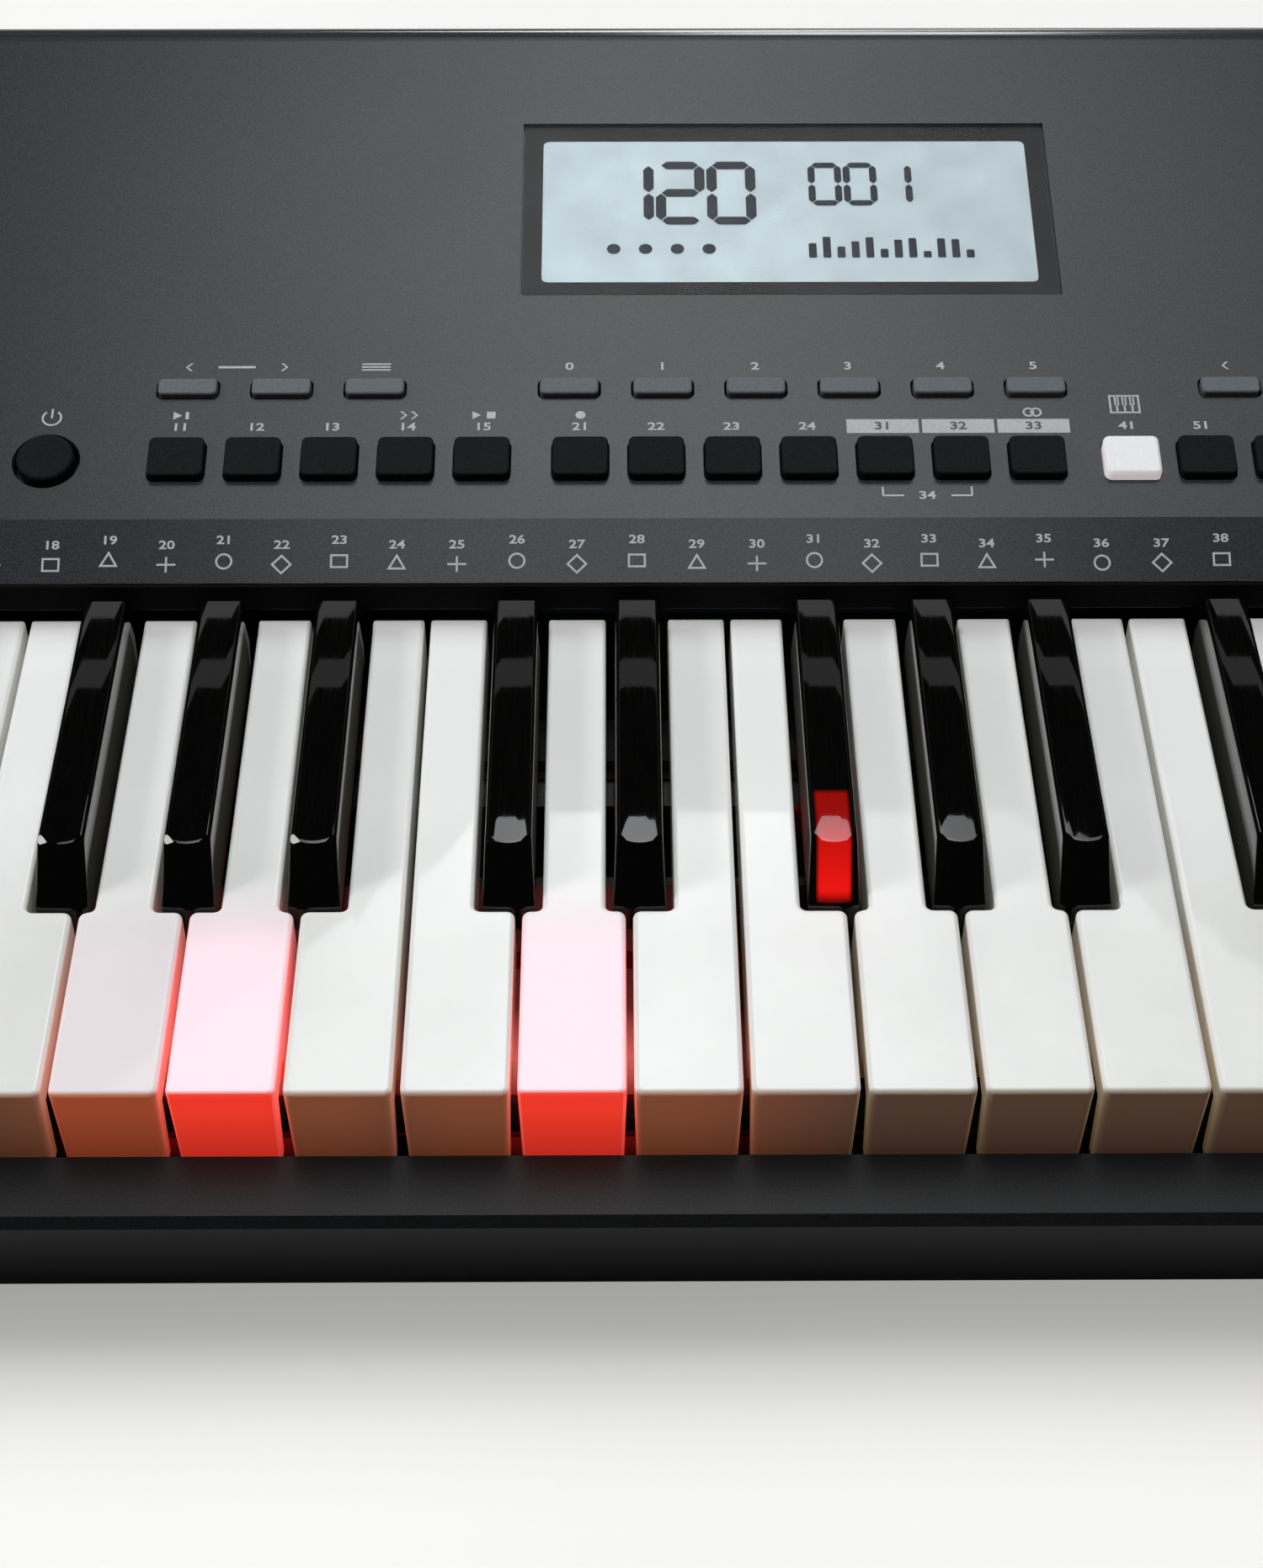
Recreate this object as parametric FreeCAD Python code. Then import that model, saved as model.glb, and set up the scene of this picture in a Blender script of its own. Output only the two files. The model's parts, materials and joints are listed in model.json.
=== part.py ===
import FreeCAD, Part
import os
from math import radians, sin, cos, tan, hypot

V = FreeCAD.Vector
X_AXIS = V(1, 0, 0)
os.makedirs("parts", exist_ok=True)

# Arranger keyboard with 61 lit keys. Millimetres, x to the player's right, y to the rear, z up.
# The origin is under the middle of the case, on the table.

# Driving dimensions of the keyboard
white_count = 36
white_pitch = 23.5
key_gap = 1.1
slot_width = 14.5
head_length = 48.2
white_length = 137.0
white_plate = 2.0
white_wall = 1.5
white_skirt = 14.0
white_front_depth = 24.0
white_front_wall = 2.0
white_nose_bevel = 1.2
black_base_width = 11.6
black_top_width = 9.4
black_height = 10.0
black_foot_y = 50.8
black_crease_y = 58.2
black_front_bow = 1.3
black_skirt_set_back = 1.6
black_end_y = 133.8
black_wall = 1.6
black_edge_bevel = 0.8

# Driving dimensions of the key action
key_dip_deg = 3.1
run_clearance = 0.4
hinge_back = 28.0
hinge_drop = 9.5
rod_diameter = 4.0
hook_length = 10.0
hook_drop = 3.5
arm_width = 8.0
arm_rise = 4.0
felt = 1.2
foot_thickness = 2.4
white_foot_width = 12.0
white_foot_end = 10.5
front_beam_y = 5.0
beam_depth = 6.0
beam_notch_drop = 6.5
beam_notch_length = 12.0
black_leg_y = 60.0
black_leg_depth = 4.0
black_leg_width = 8.0
black_foot_length = 11.5
mid_beam_y = 66.0
post_width = 6.0
post_depth = 3.0
white_guide_y = 28.0
guide_depth = 6.0
black_pocket_end = 108.0
rubber_y = 112.0
rubber_base = 0.8
rubber_height = 3.4
rubber_ridge = 7.0
rubber_depth = 12.0
contact_board_depth = 28.0
board = 1.6
deck = 2.6
deck_front_y = 0.5
deck_behind_hinge = 12.0
support_width = 4.0
support_rise = 5.0
retainer_height = 3.0
retainer_depth = 12.0
light_board_depth = 10.0
white_light_y = 14.0
black_light_y = 76.0
led_strip = 3.0
led_height = 1.0

# Driving dimensions of the case
cheek_width = 50.0
rail_depth = 17.0
rail_gap = 2.0
rail_bevel = 2.5
rail_flange = 12.0
lip_gap = 1.5
panel_depth = 182.5
foot_height = 6.0
tub_depth = 39.5
white_rise = 18.5
lip_rise = 11.2
lip_clear = 2.8
cheek_front_rise = 21.5
cheek_radius = 8.0
strip_length = 15.9
strip_slope = 28.0
panel_slope = 12.0
rear_radius = 12.0
corner_radius = 14.0
tub_inset = 12.0
wall = 2.5
key_side_gap = 1.2
rib = 3.0

# Driving dimensions of the panel controls, x from the middle and v up the panel slope
button_clearance = 0.4
button_travel = 1.2
flange_margin = 1.2
flange = 1.2
square_width = 13.2
square_depth = 11.4
square_rise = 2.4
square_pitch = 18.1
square_v = 17.0
style_x = -153.8
style_count = 5
record_x = -58.05
record_count = 4
mode_x = 14.35
mode_count = 3
piano_x = 73.0
metronome_x = 90.8
metronome_count = 2
rect_width = 14.6
rect_depth = 5.2
rect_rise = 1.6
rect_pitch = 22.55
rect_v = 38.9
tempo_x = -152.8
tempo_count = 3
memory_x = -60.8
memory_count = 6
value_x = 99.0
value_count = 3
number_x = 127.0
number_count = 3
button_bevel = 0.7
power_x = -184.8
power_v = 17.2
power_diameter = 15.4
power_rise = 2.0
knob_x = -232.0
knob_v = 32.0
knob_diameter = 26.0
knob_height = 14.0
knob_gap = 0.8
knob_bevel = 1.2
knob_flats = 18
shaft_diameter = 6.0
pot_width = 17.0
mat_width = 8.0
board_drop = 9.0
stud = 5.0
display_x = -6.0
display_v = 98.0
display_width = 134.0
display_depth = 58.0
display_ledge = 4.0
window = 1.2
module_height = 7.0
module_margin = 6.0

# Driving dimensions of the speakers
speaker_x = 355.0
speaker_v = 92.0
grille_width = 132.0
grille_depth = 86.0
grille_clearance = 0.2
grille_flange = 2.0
grille_overlap = 4.0
grille_slots = 12
slot_height = 3.4
speaker_diameter = 80.0
speaker_depth = 32.0
magnet_diameter = 45.0
magnet_height = 12.0
basket = 1.6
cone_diameter = 64.0
cap_diameter = 22.0
cone_depth = 14.0
speaker_flats = 16

# Driving dimensions of the rear sockets, battery bay, boards and feet
jack_panel_x = 105.0
jack_panel_width = 130.0
jack_panel_height = 28.0
jack_panel_z = 74.0
jack_panel_overlap = 3.0
jack_pitch = 34.0
jack_bore_diameter = 6.5
jack_body = 14.0
jack_shoulder = 1.5
jack_length = 20.0
jack_depth = 17.0
dc_bore_diameter = 5.7
dc_depth = 10.0
bay_width = 164.0
bay_front_y = 102.0
bay_height = 18.0
bay_wall = 2.0
bay_end_wall = 7.0
cover_rabbet = 3.0
cover_grip_width = 30.0
cover_grip_depth = 3.0
cover_grip_sink = 0.8
contact_plate = 0.6
contact_width = 9.0
main_board_x = 250.0
main_board_rear_gap = 40.0
main_board_width = 150.0
main_board_depth = 80.0
main_board_rise = 8.0
sound_chip = 22.0
memory_chip = 14.0
power_chip = 10.0
chip_height = 2.0
foot_pad = 20.0
foot_pad_sink = 1.0
foot_pad_inset_x = 70.0
foot_pad_inset_y = 40.0

# Places that follow from the driving dimensions
key_span = white_count * white_pitch
case_width = key_span + 2 * cheek_width
case_depth = rail_depth + rail_gap + white_length + lip_gap + panel_depth
front_y = -case_depth / 2
rear_y = case_depth / 2
key_y = front_y + rail_depth + rail_gap
lip_y = key_y + white_length + lip_gap
floor_z = foot_height
parting_z = floor_z + tub_depth
white_z = parting_z + white_rise
lip_z = white_z + lip_rise
opening_half = key_span / 2 + key_side_gap
panel_y = lip_y + strip_length * cos(radians(strip_slope))
panel_z = lip_z + strip_length * sin(radians(strip_slope))
rear_top_z = panel_z + (rear_y - panel_y) * tan(radians(panel_slope))
hinge_y = key_y + white_length + hinge_back
hinge_z = white_z - hinge_drop
dip = sin(radians(key_dip_deg))


def drop_at(y):
    """How far a point of a key at y goes down at full dip."""
    return (hinge_y - y) * dip


white_ceiling_z = white_z - white_plate
skirt_z = white_z - white_skirt
white_foot_z = white_z - white_front_depth
deck_z = white_foot_z - drop_at(key_y + white_front_wall) - run_clearance - felt
black_z = white_z + black_height
black_foot_z = deck_z + felt + run_clearance + drop_at(key_y + black_leg_y)
notch_z = white_z - beam_notch_drop
front_beam_z = white_foot_z + foot_thickness + run_clearance + felt
front_beam_top = notch_z - drop_at(key_y + front_beam_y) - run_clearance
mid_beam_z = black_foot_z + foot_thickness + run_clearance + felt
mid_beam_top = skirt_z - drop_at(key_y + mid_beam_y) - run_clearance
white_guide_top = white_ceiling_z - drop_at(key_y + white_guide_y) - run_clearance
rubber_top = skirt_z - drop_at(key_y + rubber_y - rubber_ridge / 2) - run_clearance
contact_board_z = rubber_top - rubber_height - rubber_base - board
contact_board_y = key_y + rubber_y - contact_board_depth / 2


def box(x0, x1, y0, y1, z0, z1):
    return Part.makeBox(x1 - x0, y1 - y0, z1 - z0, V(x0, y0, z0))


def block(x, y, width, depth, z0, z1):
    """Box whose plan is centred on x and y."""
    return box(x - width / 2, x + width / 2, y - depth / 2, y + depth / 2, z0, z1)


def rod(x, y, z, radius, height):
    return Part.makeCylinder(radius, height, V(x, y, z))


def prism(points, z0, z1):
    """Upright prism over a plan outline of (x, y) points."""
    corners = [V(x, y, z0) for x, y in points]
    face = Part.Face(Part.makePolygon(corners + corners[:1]))
    return face.extrude(V(0, 0, z1 - z0))


def inset(points, distance):
    """Outline moved inward by one distance, points anticlockwise."""
    moved = []
    count = len(points)
    for i in range(count):
        (ax, ay), (bx, by), (cx, cy) = points[i - 1], points[i], points[(i + 1) % count]
        d1 = hypot(bx - ax, by - ay)
        d2 = hypot(cx - bx, cy - by)
        n1 = (-(by - ay) / d1, (bx - ax) / d1)
        n2 = (-(cy - by) / d2, (cx - bx) / d2)
        k = distance / (1 + n1[0] * n2[0] + n1[1] * n2[1])
        moved.append((bx + k * (n1[0] + n2[0]), by + k * (n1[1] + n2[1])))
    return moved


def rounded(points, radii):
    """Closed list of edges through 3D points, with an arc at each corner that has a radius."""
    stops = []
    count = len(points)
    for i in range(count):
        before, here, after = points[i - 1], points[i], points[(i + 1) % count]
        u = (before - here).normalize()
        w = (after - here).normalize()
        if radii[i] <= 0:
            stops.append((here, None, here))
            continue
        half = u.getAngle(w) / 2
        reach = radii[i] / tan(half)
        bisector = (u + w).normalize()
        middle = here + bisector * (radii[i] / sin(half) - radii[i])
        stops.append((here + u * reach, middle, here + w * reach))
    edges = []
    for i in range(count):
        start, middle, end = stops[i]
        if middle is not None:
            edges.append(Part.Arc(start, middle, end).toShape())
        edges.append(Part.makeLine(end, stops[(i + 1) % count][0]))
    return Part.Wire(edges)


def rounded_plan(width, depth, radius, z):
    """Rounded rectangle round the origin at height z."""
    x = width / 2
    y = depth / 2
    corners = [V(-x, -y, z), V(x, -y, z), V(x, y, z), V(-x, y, z)]
    return rounded(corners, [radius] * 4)


def frustum(low, high, z0, z1):
    """Solid between two flat outlines with the same number of corners."""
    bottom = [V(x, y, z0) for x, y in low]
    top = [V(x, y, z1) for x, y in high]
    count = len(low)
    faces = [Part.Face(Part.makePolygon(ring + ring[:1])) for ring in (bottom, top)]
    for i in range(count):
        j = (i + 1) % count
        faces.append(Part.Face(Part.makePolygon([bottom[i], bottom[j], top[j], top[i], bottom[i]])))
    return Part.Solid(Part.Shell(faces))


def rectangle(x0, x1, y0, y1):
    return [(x0, y0), (x1, y0), (x1, y1), (x0, y1)]


def joined(first, others):
    return first.fuse(others).removeSplitter()


def on_panel(shape):
    """Shape drawn flat as x, v, n is laid on the sloping panel."""
    placed = shape.copy()
    placed.rotate(V(0, 0, 0), X_AXIS, panel_slope)
    placed.translate(V(0, panel_y, panel_z))
    return placed


def save(name, solids):
    shape = solids if isinstance(solids, Part.Shape) else Part.makeCompound(solids)
    shape.exportStep("parts/" + name + ".step")


# Keyboard layout: white necks share out what the black slots leave
WHITE_NAMES = "cdefgab"
trio_neck = (3 * white_pitch - key_gap - 2 * slot_width) / 3
quad_neck = (4 * white_pitch - key_gap - 3 * slot_width) / 4


def white_place(i):
    """Head and neck sides of white key i, counted from the left."""
    left = -key_span / 2 + i * white_pitch + key_gap / 2
    right = left + white_pitch - key_gap
    step = i % 7
    if i == white_count - 1:
        return left, right, left, right
    first = step if step < 3 else step - 3
    neck = trio_neck if step < 3 else quad_neck
    base = left - first * white_pitch
    neck_left = base + first * (neck + slot_width)
    return left, right, neck_left, neck_left + neck


def black_places():
    """Name and middle of each black key, from the left."""
    places = []
    for i in range(white_count - 1):
        if i % 7 in (2, 6):
            continue
        neck_right = white_place(i)[3]
        name = WHITE_NAMES[i % 7] + "s" + str(2 + i // 7)
        places.append((name, neck_right + slot_width / 2))
    return places


def white_name(i):
    return WHITE_NAMES[i % 7] + str(2 + i // 7)


def key_arm(x, y0):
    """Arm under the panel, notched at its end to ride on the hinge rod."""
    half = arm_width / 2
    low = hinge_z - hook_drop
    arm = box(x - half, x + half, y0, hinge_y + hook_length / 2, low, hinge_z + arm_rise)
    saddle = rod_diameter / 2 + run_clearance
    return arm.cut(box(x - half, x + half, hinge_y - saddle, hinge_y + saddle, low, hinge_z + saddle))


def white_key(i):
    left, right, neck_left, neck_right = white_place(i)
    notch_y = key_y + head_length
    end_y = key_y + white_length
    outline = [(left, key_y), (right, key_y)]
    if neck_right < right - key_gap:
        outline += [(right, notch_y), (neck_right, notch_y)]
    outline += [(neck_right, end_y), (neck_left, end_y)]
    if neck_left > left + key_gap:
        outline += [(neck_left, notch_y), (left, notch_y)]
    shell = prism(outline, skirt_z, white_z)
    nose_middle = V((left + right) / 2, key_y, white_z)
    nose = [e for e in shell.Edges if e.CenterOfMass.distanceToPoint(nose_middle) < 0.01]
    shell = shell.makeChamfer(white_nose_bevel, nose)
    shell = shell.cut(prism(inset(outline, white_wall), skirt_z - 1, white_ceiling_z))
    notch_end = key_y + white_front_wall + beam_notch_length
    shell = shell.cut(box(left - 1, right + 1, key_y + white_front_wall, notch_end, skirt_z - 1, notch_z))
    middle = (left + right) / 2
    neck_middle = (neck_left + neck_right) / 2
    inner_y = key_y + white_front_wall
    front = box(left, right, key_y, inner_y, white_foot_z, white_z - white_nose_bevel)
    half_foot = white_foot_width / 2
    foot_top = white_foot_z + foot_thickness
    foot = box(middle - half_foot, middle + half_foot, key_y, key_y + white_foot_end, white_foot_z, foot_top)
    arm = key_arm(neck_middle, end_y - white_wall / 2)
    return joined(shell, [front, foot, arm])


def black_cap(x):
    """Tapered bar whose leaning front has three flats, so that its crease is bowed."""
    half_base = black_base_width / 2
    half_top = black_top_width / 2
    foot_y = key_y + black_foot_y
    end_y = key_y + black_end_y
    bevel = black_edge_bevel
    flank = bevel * (half_base - half_top) / black_height
    section = [V(x - half_base, foot_y, white_z), V(x + half_base, foot_y, white_z),
               V(x + half_top + flank, foot_y, black_z - bevel), V(x + half_top - bevel, foot_y, black_z),
               V(x - half_top + bevel, foot_y, black_z), V(x - half_top - flank, foot_y, black_z - bevel)]
    bar = Part.Face(Part.makePolygon(section + section[:1])).extrude(V(0, end_y - foot_y, 0))
    lean = V(0, black_crease_y - black_foot_y, black_height)
    bow_y = foot_y + black_front_bow
    plan = [V(x - half_base, bow_y, white_z), V(x - half_base / 2, foot_y, white_z),
            V(x + half_base / 2, foot_y, white_z), V(x + half_base, bow_y, white_z),
            V(x + half_base, end_y, white_z), V(x - half_base, end_y, white_z)]
    leaning = Part.Face(Part.makePolygon(plan + plan[:1])).extrude(lean)
    return bar.common(leaning)


def black_key(x):
    """Black key, hollow behind its stop leg and solid over the contact rubber."""
    half_base = black_base_width / 2
    half_top = black_top_width / 2
    end_y = key_y + black_end_y
    skirt_y = key_y + black_foot_y + black_skirt_set_back
    skirt = box(x - half_base, x + half_base, skirt_y, end_y, skirt_z, white_z)
    body = joined(black_cap(x), [skirt])
    leg_y = key_y + black_leg_y
    leg_back = leg_y + black_leg_depth
    pocket_end = key_y + black_pocket_end
    low_half = half_base - black_wall
    high_half = half_top - black_wall
    pocket = frustum(rectangle(x - low_half, x + low_half, leg_back, pocket_end),
                     rectangle(x - high_half, x + high_half, leg_back, pocket_end),
                     skirt_z, black_z - black_wall)
    half_leg = black_leg_width / 2
    leg = box(x - half_leg, x + half_leg, leg_y, leg_back, black_foot_z, skirt_z)
    foot_top = black_foot_z + foot_thickness
    foot = box(x - half_leg, x + half_leg, leg_back, leg_y + black_foot_length, black_foot_z, foot_top)
    arm = key_arm(x, end_y - black_wall)
    return joined(body.cut(pocket), [leg, foot, arm])


# Key action: deck with stop beams, guide posts and hinge trough
def between_octave_parts():
    """Left side of each c key and the right end of the row, where no black key stands."""
    half = key_span / 2
    return [-half + i * white_pitch for i in range(white_count) if i % 7 == 0] + [half]


def across_keys(x, width):
    """Left and right of a piece of one width at x, kept within the keys."""
    half = key_span / 2
    return max(x - width / 2, -half), min(x + width / 2, half)


def key_chassis():
    half = key_span / 2
    deck_back = hinge_y + deck_behind_hinge
    pieces = []
    base = box(-half, half, key_y + deck_front_y, deck_back, deck_z - deck, deck_z)
    beams = ((front_beam_y, front_beam_z, front_beam_top), (mid_beam_y, mid_beam_z, mid_beam_top))
    for y, low, top in beams:
        back = key_y + y + beam_depth
        pieces.append(box(-half, half, key_y + y, back, low, top))
        for x in between_octave_parts():
            x0, x1 = across_keys(x, post_width)
            pieces.append(box(x0, x1, back - post_depth, back, deck_z, low))
    guide_y0 = key_y + white_guide_y
    side = white_wall + run_clearance
    for i in range(white_count):
        left, right, neck_left, neck_right = white_place(i)
        guide_back = guide_y0 + guide_depth
        pieces.append(box(left + side, right - side, guide_y0, guide_back, deck_z, white_guide_top))
    for y in (contact_board_y, contact_board_y + contact_board_depth - rib):
        pieces.append(box(-half, half, y, y + rib, deck_z, contact_board_z))
    reach = hook_length / 2
    radius = rod_diameter / 2
    for x in between_octave_parts():
        x0, x1 = across_keys(x, support_width)
        support = box(x0, x1, hinge_y - reach, hinge_y + reach, deck_z, hinge_z + support_rise)
        pieces.append(support.cut(box(x0, x1, hinge_y - radius, hinge_y + radius, hinge_z - radius, white_z)))
    return joined(base, pieces)


def hinge_rod():
    return Part.makeCylinder(rod_diameter / 2, key_span, V(-key_span / 2, hinge_y, hinge_z), X_AXIS)


def key_retainer():
    half = key_span / 2
    low = hinge_z + support_rise
    reach = retainer_depth / 2
    return box(-half, half, hinge_y - reach, hinge_y + reach, low, low + retainer_height)


def stop_felts():
    """Two strips under the beams that the keys rest against and two on the deck that stop their dip."""
    half = key_span / 2
    depth = beam_depth - post_depth - run_clearance
    front = key_y + front_beam_y
    middle = key_y + mid_beam_y
    leg_y = key_y + black_leg_y
    return [box(-half, half, front, front + depth, front_beam_z - felt, front_beam_z),
            box(-half, half, middle, middle + depth, mid_beam_z - felt, mid_beam_z),
            box(-half, half, key_y + deck_front_y, front, deck_z, deck_z + felt),
            box(-half, half, leg_y, leg_y + black_leg_depth, deck_z, deck_z + felt)]


def key_light_boards():
    """Boards on the deck with a strip of lights each, under the white and under the black keys."""
    top = deck_z + board
    boards = []
    for y in (white_light_y, black_light_y):
        middle = key_y + y + light_board_depth / 2
        base = block(0, middle, key_span, light_board_depth, deck_z, top)
        lights = block(0, middle, key_span, led_strip, top, top + led_height)
        boards.append(joined(base, [lights]))
    return boards


def key_contact_board():
    middle = key_y + rubber_y
    return block(0, middle, key_span, contact_board_depth, contact_board_z, contact_board_z + board)


def contact_rubbers():
    low = contact_board_z + board
    middle = key_y + rubber_y
    strip = block(0, middle, key_span, rubber_depth, low, low + rubber_base)
    ridge = block(0, middle, key_span, rubber_ridge, low + rubber_base, rubber_top)
    return joined(strip, [ridge])


# Panel controls
def around(x, v, width, depth):
    """Plan of a button or its hole."""
    return rectangle(x - width / 2, x + width / 2, v - depth / 2, v + depth / 2)


flange_n = -wall - run_clearance
mat_top = flange_n - flange - button_travel - run_clearance


def push_button(x, v, width, depth, rise):
    """Cap with a bevelled top and a flange that the panel holds over the rubber mat."""
    plan = around(x, v, width, depth)
    stem = prism(plan, flange_n, rise - button_bevel)
    bevel = frustum(plan, inset(plan, button_bevel), rise - button_bevel, rise)
    held_plan = around(x, v, width + 2 * flange_margin, depth + 2 * flange_margin)
    hold = prism(held_plan, flange_n - flange, flange_n)
    return on_panel(joined(stem, [bevel, hold]))


def row_of(x, count, pitch):
    return [x + i * pitch for i in range(count)]


square_groups = {
    "style_buttons": row_of(style_x, style_count, square_pitch),
    "record_buttons": row_of(record_x, record_count, square_pitch),
    "mode_buttons": row_of(mode_x, mode_count, square_pitch),
    "piano_button": [piano_x],
    "metronome_buttons": row_of(metronome_x, metronome_count, square_pitch),
    "number_buttons": row_of(number_x, number_count, square_pitch),
}
rect_groups = {
    "tempo_buttons": row_of(tempo_x, tempo_count, rect_pitch),
    "memory_buttons": row_of(memory_x, memory_count, rect_pitch),
    "value_buttons": row_of(value_x, value_count, rect_pitch),
}
square_places = [(x, square_v) for row in square_groups.values() for x in row]
rect_places = [(x, rect_v) for row in rect_groups.values() for x in row]


def power_button():
    stem = rod(power_x, power_v, flange_n, power_diameter / 2, power_rise - flange_n)
    width = power_diameter + 2 * flange_margin
    hold = prism(around(power_x, power_v, width, width), flange_n - flange, flange_n)
    return on_panel(joined(stem, [hold]))


shaft_end = -board_drop + run_clearance


def knob_plan(radius):
    turns = [radians(360 / knob_flats * (k + 0.5)) for k in range(knob_flats)]
    return [(knob_x + radius * cos(t), knob_v + radius * sin(t)) for t in turns]


def volume_knob():
    """Knob with flats round its grip, a bevelled top, a pointer groove and its shaft."""
    radius = knob_diameter / 2
    waist = knob_height - knob_bevel
    grip = prism(knob_plan(radius), knob_gap, waist)
    top = frustum(knob_plan(radius), knob_plan(radius - knob_bevel), waist, knob_height)
    shaft = rod(knob_x, knob_v, shaft_end, shaft_diameter / 2, knob_gap - shaft_end)
    groove = block(knob_x, knob_v + radius, knob_bevel, radius, waist, knob_height + 1)
    return on_panel(joined(grip, [top, shaft]).cut(groove))


def volume_pot():
    """Potentiometer body with a square bush round the shaft, hung from the panel."""
    body = block(knob_x, knob_v, pot_width, pot_width, -board_drop - 2 * wall, -wall)
    bush = shaft_diameter + 2 * run_clearance
    return on_panel(body.cut(block(knob_x, knob_v, bush, bush, -board_drop, 0)))


board_left = power_x - power_diameter / 2 - flange_margin - 2 * stud
board_right = number_x + number_count * square_pitch


def panel_board():
    """Board under the panel with a rubber dome mat along each row of buttons."""
    top = -board_drop
    edge = 2 * stud
    base = box(board_left, board_right, square_v - edge, rect_v + edge, top - board, top)
    middle = (board_left + board_right) / 2
    length = board_right - board_left - 2 * stud
    mats = [block(middle, v, length, mat_width, top, mat_top) for v in (square_v, rect_v)]
    return on_panel(joined(base, mats))


def board_studs():
    """Studs under the panel that the board hangs from."""
    v = (square_v + rect_v) / 2
    after_style = style_x + (style_count - 0.5) * square_pitch
    before_piano = piano_x - square_pitch / 2
    places = (board_left + stud, after_style, before_piano, board_right - stud)
    return [on_panel(block(x, v, stud, stud, -board_drop, -wall / 2)) for x in places]


def display_window():
    return on_panel(block(display_x, display_v, display_width, display_depth, -window, 0))


def display_module():
    width = display_width + 2 * module_margin
    depth = display_depth + 2 * module_margin
    frame = block(display_x, display_v, width, depth, -wall - module_height, -wall)
    ledge = display_ledge + grille_clearance
    width = display_width - 2 * ledge
    depth = display_depth - 2 * ledge
    glass = block(display_x, display_v, width, depth, -wall, -window)
    return on_panel(joined(frame, [glass]))


def panel_holes():
    """Openings in the panel for the controls, the display and the grilles."""
    gap = button_clearance
    holes = []
    for x, v in square_places:
        holes.append(block(x, v, square_width + 2 * gap, square_depth + 2 * gap, -2 * wall, wall))
    for x, v in rect_places:
        holes.append(block(x, v, rect_width + 2 * gap, rect_depth + 2 * gap, -2 * wall, wall))
    holes.append(rod(power_x, power_v, -2 * wall, power_diameter / 2 + gap, 4 * wall))
    holes.append(rod(knob_x, knob_v, -2 * wall, shaft_diameter / 2 + 2 * gap, 4 * wall))
    fit = 2 * grille_clearance
    ledge = 2 * display_ledge
    holes.append(block(display_x, display_v, display_width + fit, display_depth + fit, -window, wall))
    holes.append(block(display_x, display_v, display_width - ledge, display_depth - ledge, -2 * wall, wall))
    for x in (-speaker_x, speaker_x):
        holes.append(block(x, speaker_v, grille_width + fit, grille_depth + fit, -2 * wall, wall))
    return [on_panel(h) for h in holes]


# Case
def case_profile(extra):
    """Side outline of the upper case, moved inward by extra, as y and z."""
    points = [(front_y, parting_z), (rear_y, parting_z), (rear_y, rear_top_z), (panel_y, panel_z),
              (lip_y, lip_z), (front_y, parting_z + cheek_front_rise)]
    return inset(points, extra)


def upper_solid(extra):
    half = case_width / 2 - extra
    radii = [0, 0, rear_radius - extra, 0, 0, cheek_radius - extra]
    low = parting_z if extra == 0 else parting_z - wall
    points = case_profile(extra)
    points[0] = (points[0][0], low)
    points[1] = (points[1][0], low)
    wire = rounded([V(-half, y, z) for y, z in points], radii)
    block = Part.Face(wire).extrude(V(2 * half, 0, 0))
    plan = Part.Face(rounded_plan(case_width - 2 * extra, case_depth - 2 * extra, corner_radius - extra, 0))
    return block.common(plan.extrude(V(0, 0, rear_top_z)))


def jack_window(extra):
    """Opening in the rear wall, grown by extra, as x and z limits."""
    half_w = jack_panel_width / 2 + extra
    half_h = jack_panel_height / 2 + extra
    return jack_panel_x - half_w, jack_panel_x + half_w, jack_panel_z - half_h, jack_panel_z + half_h


def upper_case():
    outer = upper_solid(0)
    case = outer.cut(upper_solid(wall))
    high = rear_top_z
    case = case.cut(box(-opening_half, opening_half, front_y - 1, lip_y, 0, high))
    walls = []
    for x0, x1 in ((-opening_half - wall, -opening_half), (opening_half, opening_half + wall)):
        walls.append(outer.common(box(x0, x1, front_y, lip_y + wall, parting_z, high)))
    lip_wall = box(-opening_half, opening_half, lip_y, lip_y + wall, white_z + lip_clear, high)
    walls.append(outer.common(lip_wall))
    case = joined(case, walls + board_studs())
    x0, x1, z0, z1 = jack_window(grille_clearance)
    rear_window = box(x0, x1, rear_y - 2 * wall, rear_y + wall, z0, z1)
    return case.cut(panel_holes() + [rear_window])


def tub_solid(extra, low, high):
    """Drafted tub between two heights, moved inward by extra."""
    wires = []
    for z in (low, high):
        shrink = 2 * (extra + tub_inset * (parting_z - z) / tub_depth)
        radius = corner_radius - extra
        wires.append(rounded_plan(case_width - shrink, case_depth - shrink, radius, z))
    return Part.makeLoft(wires, True, True)


foot_x = case_width / 2 - foot_pad_inset_x
foot_y = case_depth / 2 - foot_pad_inset_y
foot_places = [(x, y) for x in (-foot_x, foot_x) for y in (-foot_y, foot_y)]
tub_rear_y = rear_y - tub_inset
bay_half = bay_width / 2
bay_z = floor_z + wall
bay_inner_rear_y = tub_rear_y - bay_end_wall
main_board_y = rear_y - main_board_rear_gap - main_board_depth / 2


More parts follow.
